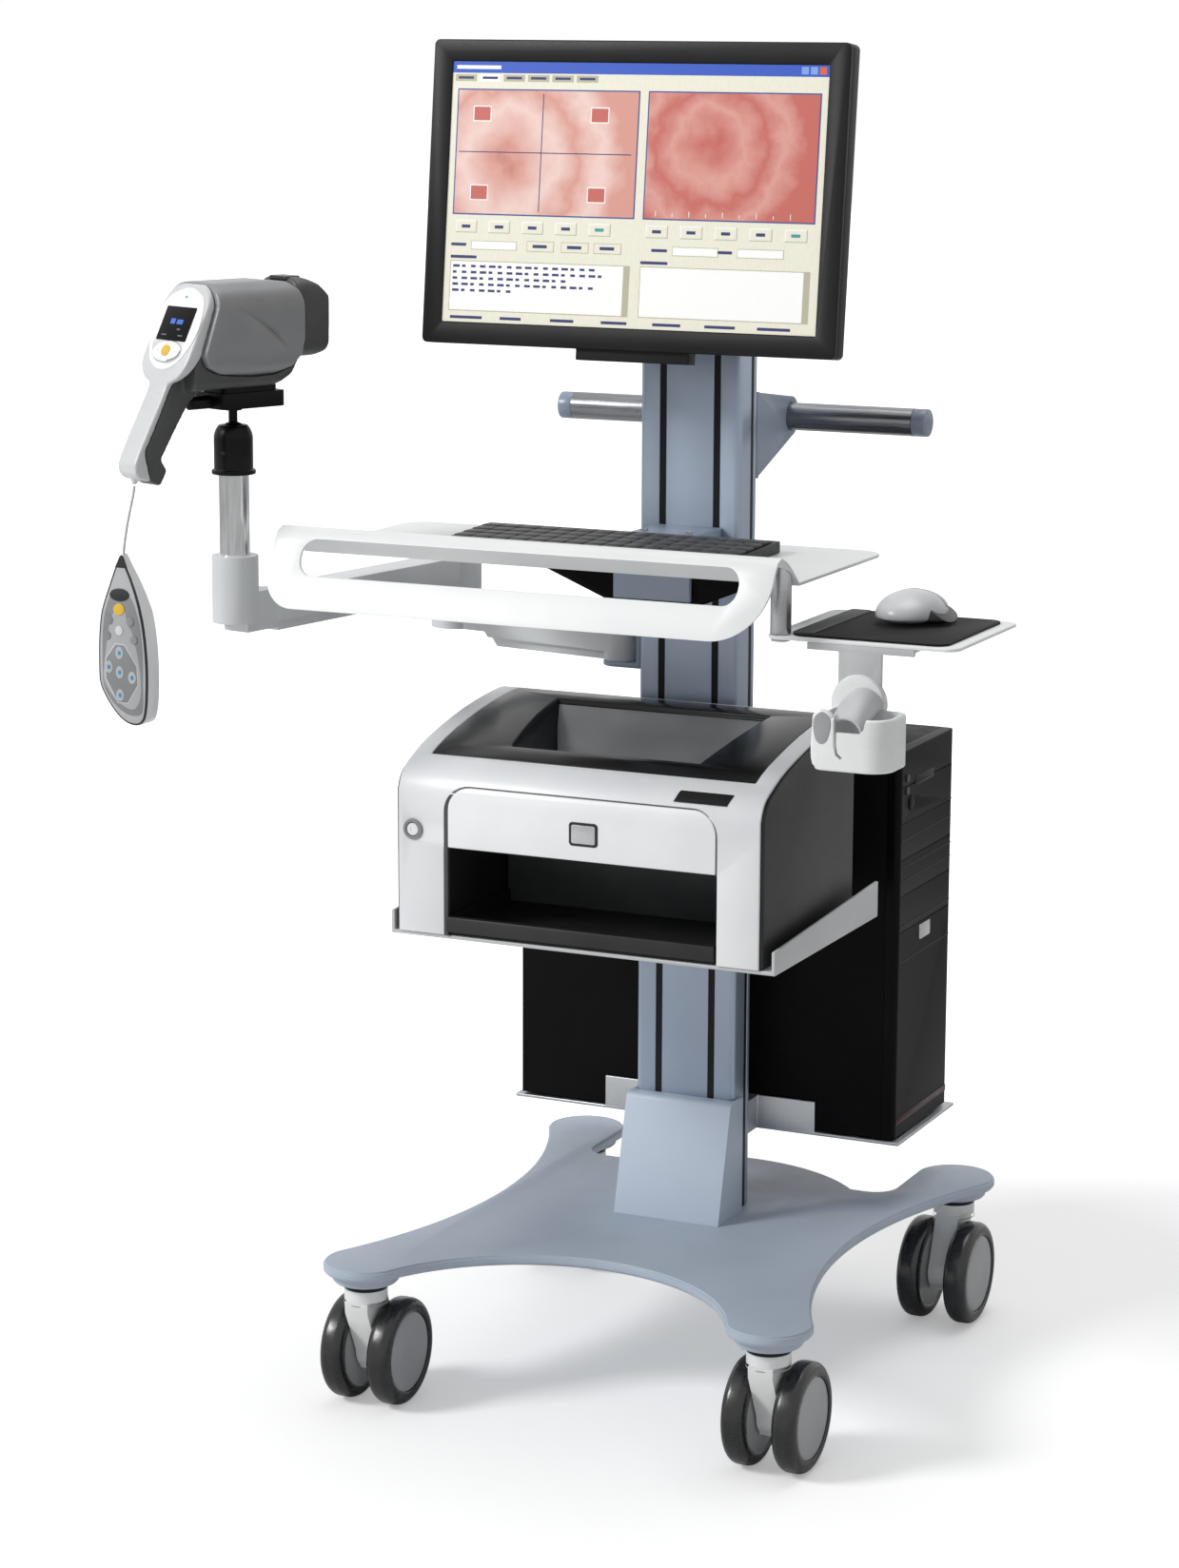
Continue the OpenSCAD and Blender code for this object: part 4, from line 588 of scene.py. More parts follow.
def make_castors():
    """Four twin-wheel castors: pad, collar, stem, swivelling fork, tyres, discs and axle"""
    pad = [(0, 121), (28.5, 121), (30.5, 123), (30.5, 129.6), (30.1, 130), (0, 130)]
    collar = [(0, 114.9), (19.5, 114.9), (20.5, 115.9), (20.5, 120.5), (20, 121), (0, 121)]
    band = [(20.02, 100.4), (20.3, 100.6), (20.3, 101.2), (20.02, 101.4)]
    tyre = (arc_points((42, 3.5), 8, 90, 0, 8) + arc_points((42, -3.5), 8, 0, -90, 8)
            + [(38.5, -11.5), (37.6, -10.8), (37.6, 10.8), (38.5, 11.5)])
    disc = [(0, 11.2), (30, 11.0), (35.6, 10.6), (36.8, 10.2), (37.5, 9.4), (37.5, -10.8),
            (0, -10.8)]
    axle = [(0, -34), (3.4, -34), (4, -33.4), (4, 33.4), (3.4, 34), (0, 34)]
    for key, (x, y, way) in CASTORS.items():
        up = shift(x, y, 0)
        seat(turned(pad, 48, 0, up), "castor_pad_" + key, "base blue", "castor_mounts",
             instead=key == "fl")
        seat(turned(collar, 48, 0, up), "castor_collar_" + key, "black plastic", "castor_mounts")
        housing = "castor_housing_" + key
        dress(housing, "castor nylon", 2.6, 4, "castor_fork_" + key)
        seat(turned(band, 64, 0, up), "castor_band_" + key, "castor disc", housing)
        wheels = "castor_wheels_" + key
        centre = Vector((x, y + way * TRAIL, AXLE_Z)) * MM
        for side, name in ((-1, "left"), (1, "right")):
            place = at(centre + Vector((side * 24 * MM, 0, 0)), (0, side, 0))
            seat(turned(tyre, 64, 0, place), f"tyre_{name}_{key}", "tread", wheels,
                 instead=side < 0)
            seat(turned(disc, 64, 0, place), f"wheel_disc_{name}_{key}", "castor disc", wheels)
        seat(turned(axle, 24, 0, at(centre, (0, 1, 0))), "castor_axle_" + key, "turned steel",
             wheels)


def make_stand():
    """Base plate, column with its strips, foot cover and rear handle"""
    dress("base_plate", "base blue", 1.6, 3)
    dress("column", "column", 0.7, 2)
    paint("column_strips", "strip")
    dress("column_foot", "foot blue", 2.2, 3)
    dress("handle_bracket", "bracket blue", 1.0)
    paint("handle_bar", "bar steel")
    dress("handle_caps", "cap blue", 1.2)
    for side in (-1, 1):
        for z in (852, 908):
            screw(f"handle_screw_{'right' if side > 0 else 'left'}_{z}",
                  facing(side * 26, 27, z, (-1, 0, 0)), "handle_bracket", 3.5)


# Monitor

LEAN = radians(6.3)
MONITOR = Matrix.Translation((-0.006, -0.155, 0.970)) @ Matrix.Rotation(-LEAN, 4, "X")
SCREEN_W = 363
SCREEN_H = 232
SCREEN_LOW = 19.5
# Where the picture's patches start behind the bezel, their thickness and the step of a layer
PICTURE_FRONT = 1.45
PATCH_T = 0.3
LAYER = 0.12


def tile(name, x0, z0, x1, z1, layer, finish):
    """One flat patch of the screen's picture, in mm from the screen's lower middle"""
    front = PICTURE_FRONT - layer * LAYER
    low = (x0, front, SCREEN_LOW + z0)
    high = (x1, front + PATCH_T, SCREEN_LOW + z1)
    piece = put(block(low, high, 0), MONITOR)
    piece.data.materials.append(finish)
    return piece


def join(pieces, name, node):
    """Joins patches that each keep their own finish into one piece"""
    pick(*pieces)
    bpy.ops.object.join()
    piece = bpy.context.object
    piece.name = name
    piece.data.name = name
    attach(piece, BODY_OF[node])
    return piece


def make_screen():
    """A generic patient-image program: title bar, two pictures, buttons and note fields"""
    beige = lit("lit_panel_beige", "#ece9d8")
    white = lit("lit_field_white", "#fdfdfb")
    blue = lit("lit_title_blue", "#2a56c0")
    navy = lit("lit_text_navy", "#2b2f66")
    line = lit("lit_line_grey", "#b9b59f")
    frame_blue = lit("lit_frame_blue", "#2a4f94")
    orange = lit("lit_close_orange", "#d9603a")
    pale_blue = lit("lit_button_blue", "#7fa4e6")
    teal = lit("lit_icon_teal", "#3f9a96")
    top = MONITOR @ Vector((0.092, 0, 0.2))
    low = MONITOR @ Vector((-0.105, 0, 0.182))
    left_picture = tissue("lit_picture_bands", low, 0.115, "#a23a2e", "#d8998c", "#f0d3cb")
    right_picture = tissue("lit_picture_rings", top, 0.09, "#8e3430", "#c4665c", "#dda096")
    half = SCREEN_W / 2
    patches = [tile("panel", -half, 0, half, SCREEN_H, 0, beige)]

    def patch(x0, z0, x1, z1, finish, layer=1):
        patches.append(tile("patch", x0, z0, x1, z1, layer, finish))

    patch(-half, 222, half, SCREEN_H, blue)
    for k, tint in enumerate((pale_blue, pale_blue, orange)):
        patch(half - 26 + 8.4 * k, 224, half - 19.5 + 8.4 * k, 230.4, tint, 2)
    patch(-half + 4, 225.4, -half + 48, 228.6, white, 2)
    # Tabs, then a row of buttons above the pictures
    for k in range(6):
        patch(-half + 3 + 24 * k, 214.6, -half + 24 + 24 * k, 220.6, white if k == 1 else line)
        patch(-half + 6 + 24 * k, 216.6, -half + 21 + 24 * k, 218.8, navy, 2)
    # Two pictures with their frames
    for x0, x1, picture in ((-half + 6, 4, left_picture), (12, half - 6, right_picture)):
        patch(x0, 96, x1, 208, frame_blue)
        patch(x0 + 1.2, 97.2, x1 - 1.2, 206.8, picture, 2)
    # Cross hairs and sampling marks over the left picture, a scale on the right one
    patch(-90.4, 100, -89.6, 204, navy, 3)
    patch(-172, 151.6, -2, 152.4, navy, 3)
    for x, z in ((-150, 186), (-34, 186), (-150, 116), (-34, 116)):
        patch(x - 9, z - 7, x + 9, z + 7, white, 3)
        patch(x - 8, z - 6, x + 8, z + 6, right_picture, 4)
    for k in range(9):
        patch(24 + 16 * k, 99, 24.6 + 16 * k, 102 if k % 2 else 104, white, 3)
    # Buttons with a mark each
    for side, x in ((-1, -half + 10), (1, 16)):
        for k in range(5):
            patch(x + 33 * k, 80, x + 33 * k + 21, 91, line)
            patch(x + 33 * k, 80.7, x + 33 * k + 20.3, 91, white, 2)
            patch(x + 33 * k + 0.8, 80.9, x + 33 * k + 20, 90.2, beige, 3)
            patch(x + 33 * k + 6, 84.2, x + 33 * k + 14.5, 87, teal if k == 4 else navy, 4)
    # Fields
    for x0, x1 in ((-half + 26, -110), (42, 86), (104, 148)):
        patch(x0 - 20, 68, x0 - 5, 70.6, navy)
        patch(x0, 65, x1, 73, line)
        patch(x0 + 0.6, 65.6, x1 - 0.6, 72.4, white, 2)
    for x in (-100, -66, -34):
        patch(x, 64.6, x + 27, 74, line)
        patch(x + 0.6, 65.2, x + 26.4, 73.4, beige, 2)
        patch(x + 6, 68, x + 20, 70.8, navy, 3)
    # Note areas with plain bars for their lines
    for x0, x1, rows in ((-half + 6, 2, 5), (12, half - 8, 0)):
        patch(x0, 57, x0 + 26, 59.6, navy)
        patch(x0, 10, x1, 55, line)
        patch(x0 + 0.8, 10.8, x1 - 6, 54.2, white, 2)
        for k in range(rows):
            reach = (148, 160, 121, 152, 64)[k]
            for j in range(int(reach / 9)):
                patch(x0 + 3 + 9 * j, 49 - 5.4 * k, x0 + 9.6 + 9 * j - (j * 7 + k * 3) % 4,
                      51.2 - 5.4 * k, navy, 3)
    for k in range(7):
        patch(-half + 8 + 50 * k, 3, -half + 40 + 50 * k - (k * 11) % 13, 5.6, navy)
    join(patches, "screen_picture", "monitor_screen")


def make_monitor():
    """Column cap, knuckle, back shell with vents, bezel and the lit screen"""
    dress("column_head", "black steel", 1.0)
    dress("monitor_yoke", "black steel", 1.0)
    dress("monitor_back", "black plastic", 1.8, 3)
    dress("monitor_frame", "black plastic", 0.9, 2)
    paint("monitor_screen", "display glass")
    make_screen()
    # Vent slots drawn as thin near-black patches on the back shell, not openings: their black is
    # painted shade of the slots
    for row in range(3):
        for k in range(22):
            x, z = -88 + 8 * k, 214 - 9 * row
            slot = block((x, 49.2, z), (x + 3.6, 50.3, z + 6), 0.2)
            seat(put(slot, MONITOR), f"monitor_vent_{row}_{k}", "deep black", "monitor_back")
    for x in (-32, 44):
        for z in (98, 173):
            screw(f"monitor_screw_{x + 32}_{z}", MONITOR @ facing(x, 54, z, (-1, 0, 0)),
                  "monitor_back", 3.2)


# Trays

# The mouse's button lies beyond and above these
BUTTON_Y = -173
BUTTON_Z = 765
# How far the mouse's skin keeps inside its box, the height of its rim and of its crown's start
SKIN = 0.7
RIM = 7
CROWN = 8


def pebble(grow):
    """The mouse's smooth shape: highest near the palm, flat underneath"""
    low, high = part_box("mouse")
    middle, half = (low + high) / 2, (high - low) / 2
    bpy.ops.object.select_all(action="DESELECT")
    bpy.ops.mesh.primitive_uv_sphere_add(segments=56, ring_count=36, radius=1)
    piece = bpy.context.object
    for vertex in piece.data.vertices:
        x, y, z = vertex.co
        rise = max(z, 0) ** 0.9 * (1 - 0.2 * max(y + 0.25, 0) ** 2)
        vertex.co = (middle.x + x * (half.x - (SKIN - grow) * MM) * (1 - 0.1 * y),
                     middle.y + y * (half.y - (SKIN - grow) * MM),
                     low.z + RIM * MM + rise * (2 * half.z - CROWN * MM + grow * MM)
                     + min(z, 0) * RIM * MM)
    pick(piece)
    bpy.ops.object.shade_smooth()
    return piece


def make_trays():
    """Keyboard tray on its bracket, keyboard, mouse tray, mat and mouse"""
    dress("tray_bracket", "bracket blue", 1.2)
    dress("tray_beam", "black steel", 1.4)
    dress("keyboard_tray", "white sheet", 1.1, 3)
    dress("keyboard_case", "black plastic", 0.9)
    dress("keycaps", "key plastic", 0.9, 2)
    dress("mouse_post", "turned steel", 0.5)
    dress("mouse_tray", "white sheet", 0.9, 3)
    dress("mouse_mat", "mat", 0.6)
    # The button's room in the shell, with what it travels
    room = (235, BUTTON_Y - 0.4, BUTTON_Z - 0.7), (335, -110, 810)
    body = carve(pebble(0), block(*room, edge=0))
    seat(round_edges(body, 0), "mouse_body", "mouse shell", "mouse", instead=True)
    low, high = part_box("mouse")
    foot = Vector(((low.x + high.x) / 2, (low.y + high.y) / 2, low.z))
    skirt = put(pebble(0), Matrix.Translation(foot + Vector((21, 1, 0)) * MM)
                @ Matrix.Diagonal((0.67, 0.67, 0.75, 1)) @ Matrix.Translation(-foot))
    trim(skirt, (297, -190, 771), (0.75, 0.1, 1), "clear_outer")
    carve(round_edges(skirt, 1.2 * MM, 2, 40), block(*room, edge=0))
    seat(round_edges(skirt, 0), "mouse_skirt", "mouse dark", "mouse")
    button = pebble(0.7)
    trim(button, (0, BUTTON_Y, 0), (0, 1, 0), "clear_inner")
    trim(button, (0, 0, BUTTON_Z), (0, 0, 1), "clear_inner")
    seat(round_edges(button, 0.4 * MM, 2, 40), "mouse_button_body", "mouse shell", "mouse_button",
         instead=True)
    edge = cut(rounded(0, 0, 19, 140, (3,) * 4), 0, 2.4, 0.8, 3)
    put(edge, facing(211, -285, 750.4, up=(0, 1, 0)))
    seat(edge, "mat_edge", "key plastic", "mouse_mat")
    for side in (-1, 1):
        screw(f"tray_screw_{side + 1}", facing(side * 22, -70, 798, up=(0, 1, 0)), "tray_bracket",
              3.4)


def make_cradle():
    """Hanger, turning disc and the cup that holds the camera's grip: prong, slit and saddle"""
    dress("cradle_hanger", "grey sheet", 0.9)

    def lay(outline, y_front, depth, edge, name, finish):
        """An upright plate facing the operator, from its front at y_front"""
        piece = put(cut(outline, 0, depth, edge, 3), facing(0, y_front + depth, 0))
        seat(piece, name, finish, "cradle_cup")

    disc = turned([(0, -292), (23, -292), (24.5, -293.5), (24.5, -297.5), (23, -299.5),
                   (19, -300.3), (0, -300.3)], 64)
    put(disc, facing(277, 0, 698) @ Matrix.Scale(-1, 4, (0, 0, 1)))
    edit(disc)
    bpy.ops.mesh.normals_make_consistent(inside=False)
    seat(done(disc), "cradle_disc", "cup white", "cradle_cup")
    # Cup: a rounded box with an open top, walls 3 mm
    outline = rounded(257, -354, 324, -300, (10, 21, 12, 8), 10)
    hollow = rounded(260, -351, 321, -303, (7, 18, 9, 5), 10)
    cup = cut(outline, 650, 695, 2.2, 4)
    carve(cup, cut(hollow, 654, 714, 0))
    brow = [(276.5, 683), (299, 683), (303, 687), (306, 700), (276.5, 700)]
    slit = [(276.4, 700), (276.4, 672), (278.4, 664), (283, 660.4), (284.5, 662.2), (280.6, 665.4),
            (279.2, 672), (279.2, 700)]
    for opening in (brow, slit):
        carve(cup, put(cut(opening, 0, 20, 0), facing(0, -340, 0)))
    round_edges(cup, 0)
    seat(cup, "cradle_cup_body", "cup white", "cradle_cup", instead=True)
    prong = [(257.5, 655), (257, 690), (259, 698), (266, 701.5), (273.5, 698), (276, 690),
             (275.6, 655)]
    lay(smooth_line(prong, 5), -353.8, 7, 2.4, "cradle_prong", "cup white")
    pad = [(266.5, 699.5), (273, 695), (274.2, 687), (271, 676), (266, 672.5), (261, 676),
           (258.6, 687), (260.2, 695)]
    lay(smooth_line(pad, 5), -354.7, 1.8, 0.7, "cradle_pad", "pad rubber")
    # Saddle: a half round neck from the disc down into the cup, finished grey as painted shade over
    # the cup's white
    rows, ring = 9, 20
    points, faces = [], []
    for i in range(rows + 1):
        t = i / rows
        for k in range(ring + 1):
            a = radians(180 * k / ring)
            points.append(((282.5 + 1.5 * t + (16.5 - 2 * t) * cos(a)) * MM,
                           (-299.5 - 48 * t) * MM,
                           (695.5 - 15 * t * t + (16 - 3 * t) * sin(a)) * MM))
    step = ring + 1
    for i in range(rows):
        for k in range(ring):
            corner = i * step + k
            faces.append((corner, corner + 1, corner + step + 1, corner + step))
    mesh = bpy.data.meshes.new("saddle")
    mesh.from_pydata(points, [], faces)
    saddle = linked(mesh)
    modify(saddle, "SOLIDIFY", thickness=2.2 * MM, offset=0)
    edit(saddle)
    bpy.ops.mesh.normals_make_consistent(inside=False)
    done(saddle)
    # The saddle's grey finish is painted shade; the cup it belongs to is white
    seat(round_edges(saddle, 0.5 * MM), "cradle_saddle_painted_shade", "grey sheet", "cradle_cup")


def make_arm():
    """Fork bracket, two links, shoulder and elbow caps and chromed pole"""
    dress("arm_bracket", "bracket blue", 1.0)
    dress("arm_inner", "link grey", 1.3)
    dress("arm_outer", "link grey", 1.6, 3)
    paint("arm_pole", "chrome")
    for name, x, y, z, node in (("shoulder", -78, 4, 705.3, "arm_bracket"),
                                ("elbow", -268, 36, 748, "arm_outer")):
        cap = turned([(0, -1), (11, -1), (12, 0), (12, 2.4), (11, 3.2), (0, 3.6)], 40, 0,
                     shift(x, y, z))
        seat(cap, name + "_cap", "black plastic", node)


def make_ball_head():
    """Black ball head: domed housing, ball, plate with its knob and lock screw"""
    dress("ball_housing", "head black", 0.8, 3)
    paint("ball", "head black")
    dress("ball_plate", "head black", 2.2, 4)
    place = HEAD @ facing(-16.5, -6.8, 878, (0.927, -0.375, 0))
    screw("ball_lock_screw", place, "ball_housing", 1.8, "key dark")


# Camera

# The rear face: its foot's place in the head's frame and its lean
FACE_LEAN = radians(-26.55)
ON_FACE = (HEAD @ shift(-76.06, 0, 961.575) @ Matrix.Rotation(-pi / 2, 4, "Z")
           @ Matrix.Rotation(FACE_LEAN, 4, "X") @ Matrix.Rotation(pi / 2, 4, "X"))
# Upper edge of the fold in the sides of the shell, along the view and up
SWOOSH = [(-24, 1009), (-16.1, 1006.8), (-5.6, 1003.3), (2.8, 999.2), (11.3, 994.4), (17.6, 990.1),
          (24, 984.7), (29.3, 979.3), (32.4, 974.1), (34, 967)]
SWOOSH_DEPTH = 4.2
SWOOSH_REACH = 15


def swoosh_depth(u, z):
    """How far a place on the shell's side is set in below the swoosh, in mm"""
    best, spot, below = 1e9, 0, False
    for k in range(len(SWOOSH) - 1):
        (u0, z0), (u1, z1) = SWOOSH[k], SWOOSH[k + 1]
        du, dz = u1 - u0, z1 - z0
        share = min(max(((u - u0) * du + (z - z0) * dz) / (du * du + dz * dz), 0), 1)
        away = hypot(u - u0 - share * du, z - z0 - share * dz)
        if away < best:
            best, spot = away, (k + share) / (len(SWOOSH) - 1)
            below = (u - u0) * dz - (z - z0) * du > 0
    if not below:
        return 0
    step = min(best / 1.4, 1)
    fade = max(1 - best / SWOOSH_REACH, 0)
    return SWOOSH_DEPTH * sin(pi * spot ** 1.3) * step * fade * fade


def press_swoosh(piece):
    """Presses a long curved fold into both sides of the shell"""
    turn_back = HEAD.inverted()
    for vertex in piece.data.vertices:
        local = turn_back @ vertex.co
        if abs(local.y) > 34 * MM:
            depth = swoosh_depth(local.x / MM, local.z / MM)
            local.y -= copysign(depth * MM, local.y)
            vertex.co = HEAD @ local


def on_face(outline, low, high, edge, name, finish, node, instead=False):
    """A plate on the camera's rear face, standing from low to high above it, in mm"""
    return seat(put(cut(outline, low, high, edge, 3), ON_FACE), name, finish, node, instead)


def make_camera_head():
    """Shell, grip, white face with its display and keys, hood and lens"""
    press_swoosh(soft("camera_shell", "camera grey", 1.1, 16))
    soft("camera_grip", "camera dark", 1.1, 30)
    soft("camera_face", "camera rim", 1.0, 44)
    soft("camera_hood", "camera dark", 1.1, 70)
    dress("camera_lens", "deep black", 0.6)
    glass = turned([(0, 0), (13.6, 0), (13.6, 0.8), (9, 2.6), (0, 3.4)], 48)
    put(glass, HEAD @ facing(65, 0, 997, (0, 1, 0)))
    seat(glass, "front_lens", "lens glass", "camera_lens")
    ridge = cut(rounded(-13, 0, 13, 17, (3,) * 4), 0, 4.2, 1.2, 3)
    put(ridge, HEAD @ facing(52, 0, 1027.5, (0, -1, 0), (1, 0, 0)))
    seat(ridge, "hood_ridge", "key dark", "camera_hood")
    edge = [(0, 71.3), (17, 66.5), (25.5, 60), (30, 50.5), (32, 41), (32, 30), (30, 20), (26, 11),
            (20, 2), (10, -4.5), (0, -6.3)]
    plate = smooth_line(edge + [(-x, y) for x, y in reversed(edge[1:-1])], 5)
    plate = on_face(plate, -1.2, 1.0, 0.8, "face_plate", "camera white", "camera_face")
    carve(plate, put(cut(oval(20.4, 10.4, 56, (0, 10.5)), -3, 3, 0), ON_FACE))
    on_face(rounded(-21, 20.5, 21, 52.5, (1.2,) * 4), 0.4, 1.7, 0.3, "display_window",
            "display glass", "camera_display", True)
    on_face(oval(1.3, 1.3, 20, (0, 62)), 0.8, 1.3, 0.2, "ready_light", "mark blue", "camera_face")
    marks = []
    glow = lit("lit_mark_blue", "#2d5fb4", 0.3)
    dim = lit("lit_mark_grey", "#5a6472", 0.15)
    for x, y, w, h, tint in ((-8.5, 36, 6.5, 5, glow), (0.5, 36, 8.5, 4.4, glow),
                             (4, 30.5, 4.5, 1.4, dim), (-15, 25, 7, 1, dim), (8, 25, 7, 1, dim)):
        mark = put(cut(rounded(x, y, x + w, y + h, (0.5,) * 4, 3), 1.65, 1.9, 0), ON_FACE)
        mark.data.materials.append(tint)
        marks.append(mark)
    join(marks, "display_marks", "camera_display")
    on_face(oval(20, 10, 56, (0, 10.5)), 0.7, 1.25, 0.2, "key_ring", "key light", "camera_keys",
            True)
    on_face(oval(19.2, 9.3, 56, (0, 10.5)), 0.8, 1.5, 0.3, "key_pad", "camera white", "camera_keys")
    # A mid-grey crescent along the key pad's rim, from its bottom round to its +X side: painted
    # shade on the pad's edge
    shade = [(19.4 * cos(radians(a)), 10.5 + 9.5 * sin(radians(a)))
             for a in range(-78, 13, 6)]
    inner = [(17.6 * cos(radians(a)), 10.7 + 8.2 * sin(radians(a)))
             for a in range(6, -73, -6)]
    on_face(shade + inner, 1.3, 1.62, 0.1, "key_pad_painted_shade", "key mid", "camera_keys")
    on_face(oval(5.6, 5.3, 32, (-1, 11)), 1.3, 2.5, 0.6, "capture_key", "key yellow", "camera_keys")
    for k, (x, y, side) in enumerate(((-13, 10.5, -1), (13, 10.5, 1), (-5, 3, -1))):
        arrow = [(x + side * px, y + py) for px, py in ((-0.9, -1.3), (1.3, 0), (-0.9, 1.3))]
        on_face(arrow[::side], 1.3, 1.62, 0, f"arrow_mark_{k}", "key light", "camera_keys")


# Remote, in mm: X to the right over its face, Y down from its tip
REMOTE_TOP = 796
REMOTE_BACK = -123
REMOTE_TURN = radians(21)
REMOTE_T = 20
# Half thickness at the tip and the distance from the tip at which it is whole
TIP_SHARE = 0.45
TAPER_END = 50
WALL = [(1.5, 0), (5.8, -9), (11.5, -20), (17.5, -34), (22.8, -50), (26, -68), (27.8, -90),
        (28, -112), (26.5, -134), (22.5, -146), (13, -149.5), (2, -146), (-9, -136), (-18.5, -122),
        (-22.4, -111), (-22.8, -94), (-22, -71), (-19, -49), (-12.5, -28), (-5.8, -9), (-1.5, 0)]
FIELD = [(0, -29), (11.5, -36), (18.8, -51), (22.2, -67), (23.8, -91.5), (23.4, -112), (22.4, -136),
         (14, -140.5), (3, -138), (-9, -129), (-17.3, -115), (-18.2, -95.5), (-17.6, -71),
         (-14.4, -49), (-8.5, -33)]
MIDDLE = [(5.4, -47), (9, -60), (14, -68), (20, -95.5), (21.4, -120), (15, -134), (4, -133),
          (-8, -124), (-16.6, -111), (-16, -95.5), (-10, -60), (-4.4, -49)]
# Each key's name, its middle, its half width and half height, and its finish
KEYS = [("power_key", 0, -34, 10, 5.6, "key dark"),
        ("freeze_key", 0, -46.7, 5.6, 5.1, "key yellow")]
KEYS += [("round_key_" + name, x, y, 3.6, 4, "key mid") for name, x, y in
         (("left_0", -10, -56.5), ("left_1", -12.4, -70.5), ("right_0", 11.5, -57),
          ("right_1", 15, -73))]
KEYS += [("enter_key", 0, -65.5, 3.8, 4.2, "key light")]
KEYS += [("ring_key_" + name, x, y, 4.1, 5.5, "remote silver") for name, x, y in
         (("top", 0, -85.4), ("left", -11, -98.5), ("centre", 0, -102.6), ("right", 12.7, -106.5),
          ("bottom", 0, -123))]


def drawn_in(points, inset):
    """A closed outline in mm moved inwards along its own normals"""
    line = [Vector((x, y)) for x, y in points]
    moved = []
    for k, point in enumerate(line):
        along = line[(k + 1) % len(line)] - line[k - 1]
        normal = Vector((along.y, -along.x)).normalized()
        moved.append(tuple(point + inset * normal))
    return moved


def make_remote():
    """White wall, silver face, dark seam, key field and its keys"""
    flat = (HEAD @ shift(REMOTE_BACK, 0, REMOTE_TOP) @ Matrix.Rotation(REMOTE_TURN, 4, "Z")
            @ at(across=(0, -1, 0)))
    half_t = REMOTE_T / 2

    def lay(outline, low, high, edge, name, finish, node="remote_shell", instead=False):
        """Lays a plate at heights over the remote's face, thinner towards its tip"""
        piece = cut(outline, half_t + low, half_t + high, edge, 3)
        for share in (1, 0.5):
            crease(piece, (0, -share * TAPER_END * MM, 0), (0, 1, 0))
        for vertex in piece.data.vertices:
            share = min(max(-vertex.co.y / (TAPER_END * MM), 0), 1)
            vertex.co.z *= TIP_SHARE + (1 - TIP_SHARE) * share
        put(piece, flat)
        return seat(piece, name, finish, node, instead)

    lay(smooth_line(WALL, 5), -REMOTE_T, -2.4, 5.0, "remote_wall", "remote white", instead=True)
    lay(smooth_line(drawn_in(WALL, 0.5), 5), -3.2, -1.1, 0.8, "remote_seam", "key dark")
    lay(smooth_line(drawn_in(WALL, 2.2), 5), -2.4, -0.5, 0.7, "remote_front", "remote silver")
    lay([(0, 0.6), (1.8, -0.6), (6.2, -10.5), (-6, -10.5), (-1.8, -0.6)], -12, 0.2, 0.5,
        "remote_tip", "key dark")
    lay(smooth_line(FIELD, 5), -1.6, -0.3, 0.4, "key_field", "remote field")
    lay(smooth_line(MIDDLE, 4), -1.2, -0.15, 0.2, "key_field_middle", "remote pale")
    octagon = [(-4.5, -77), (5.5, -77.5), (18, -96), (18.8, -113), (8, -130), (-3, -130),
               (-15.4, -109), (-15, -91)]
    lay(octagon, -1.2, -0.05, 0.1, "ring_line", "key light")
    lay(drawn_in(octagon, 0.9), -1.3, 0.05, 0.1, "ring_field", "remote field")
    for k, (name, x, y, half_w, half_h, finish) in enumerate(KEYS):
        lay(oval(half_w, half_h, 28, (x, y)), -0.52, 0.47, 0.3, name, finish, "remote_keys", k == 0)
        if name.startswith("ring_key"):
            lay(rounded(x - 1.5, y - 1.8, x + 1.5, y + 1.8, (0.6,) * 4, 3), 0.46, 0.52, 0,
                name + "_mark", "mark blue", "remote_keys")


# Printer

PRINTER_FRONT = -258
PRINTER_LOW = 447
# How far the cover's front is set back at each height above its foot
COVER_BROW = [(125, 0), (133, 0.8), (137, 2.4), (141, 4.4), (149, 11.3), (157, 27)]


def set_back(height):
    """The cover's set-back at a height, between the listed ones"""
    for (z0, d0), (z1, d1) in zip(COVER_BROW, COVER_BROW[1:]):
        if z0 <= height <= z1:
            return d0 + (d1 - d0) * (height - z0) / (z1 - z0)
    return 0 if height < COVER_BROW[0][0] else COVER_BROW[-1][1]


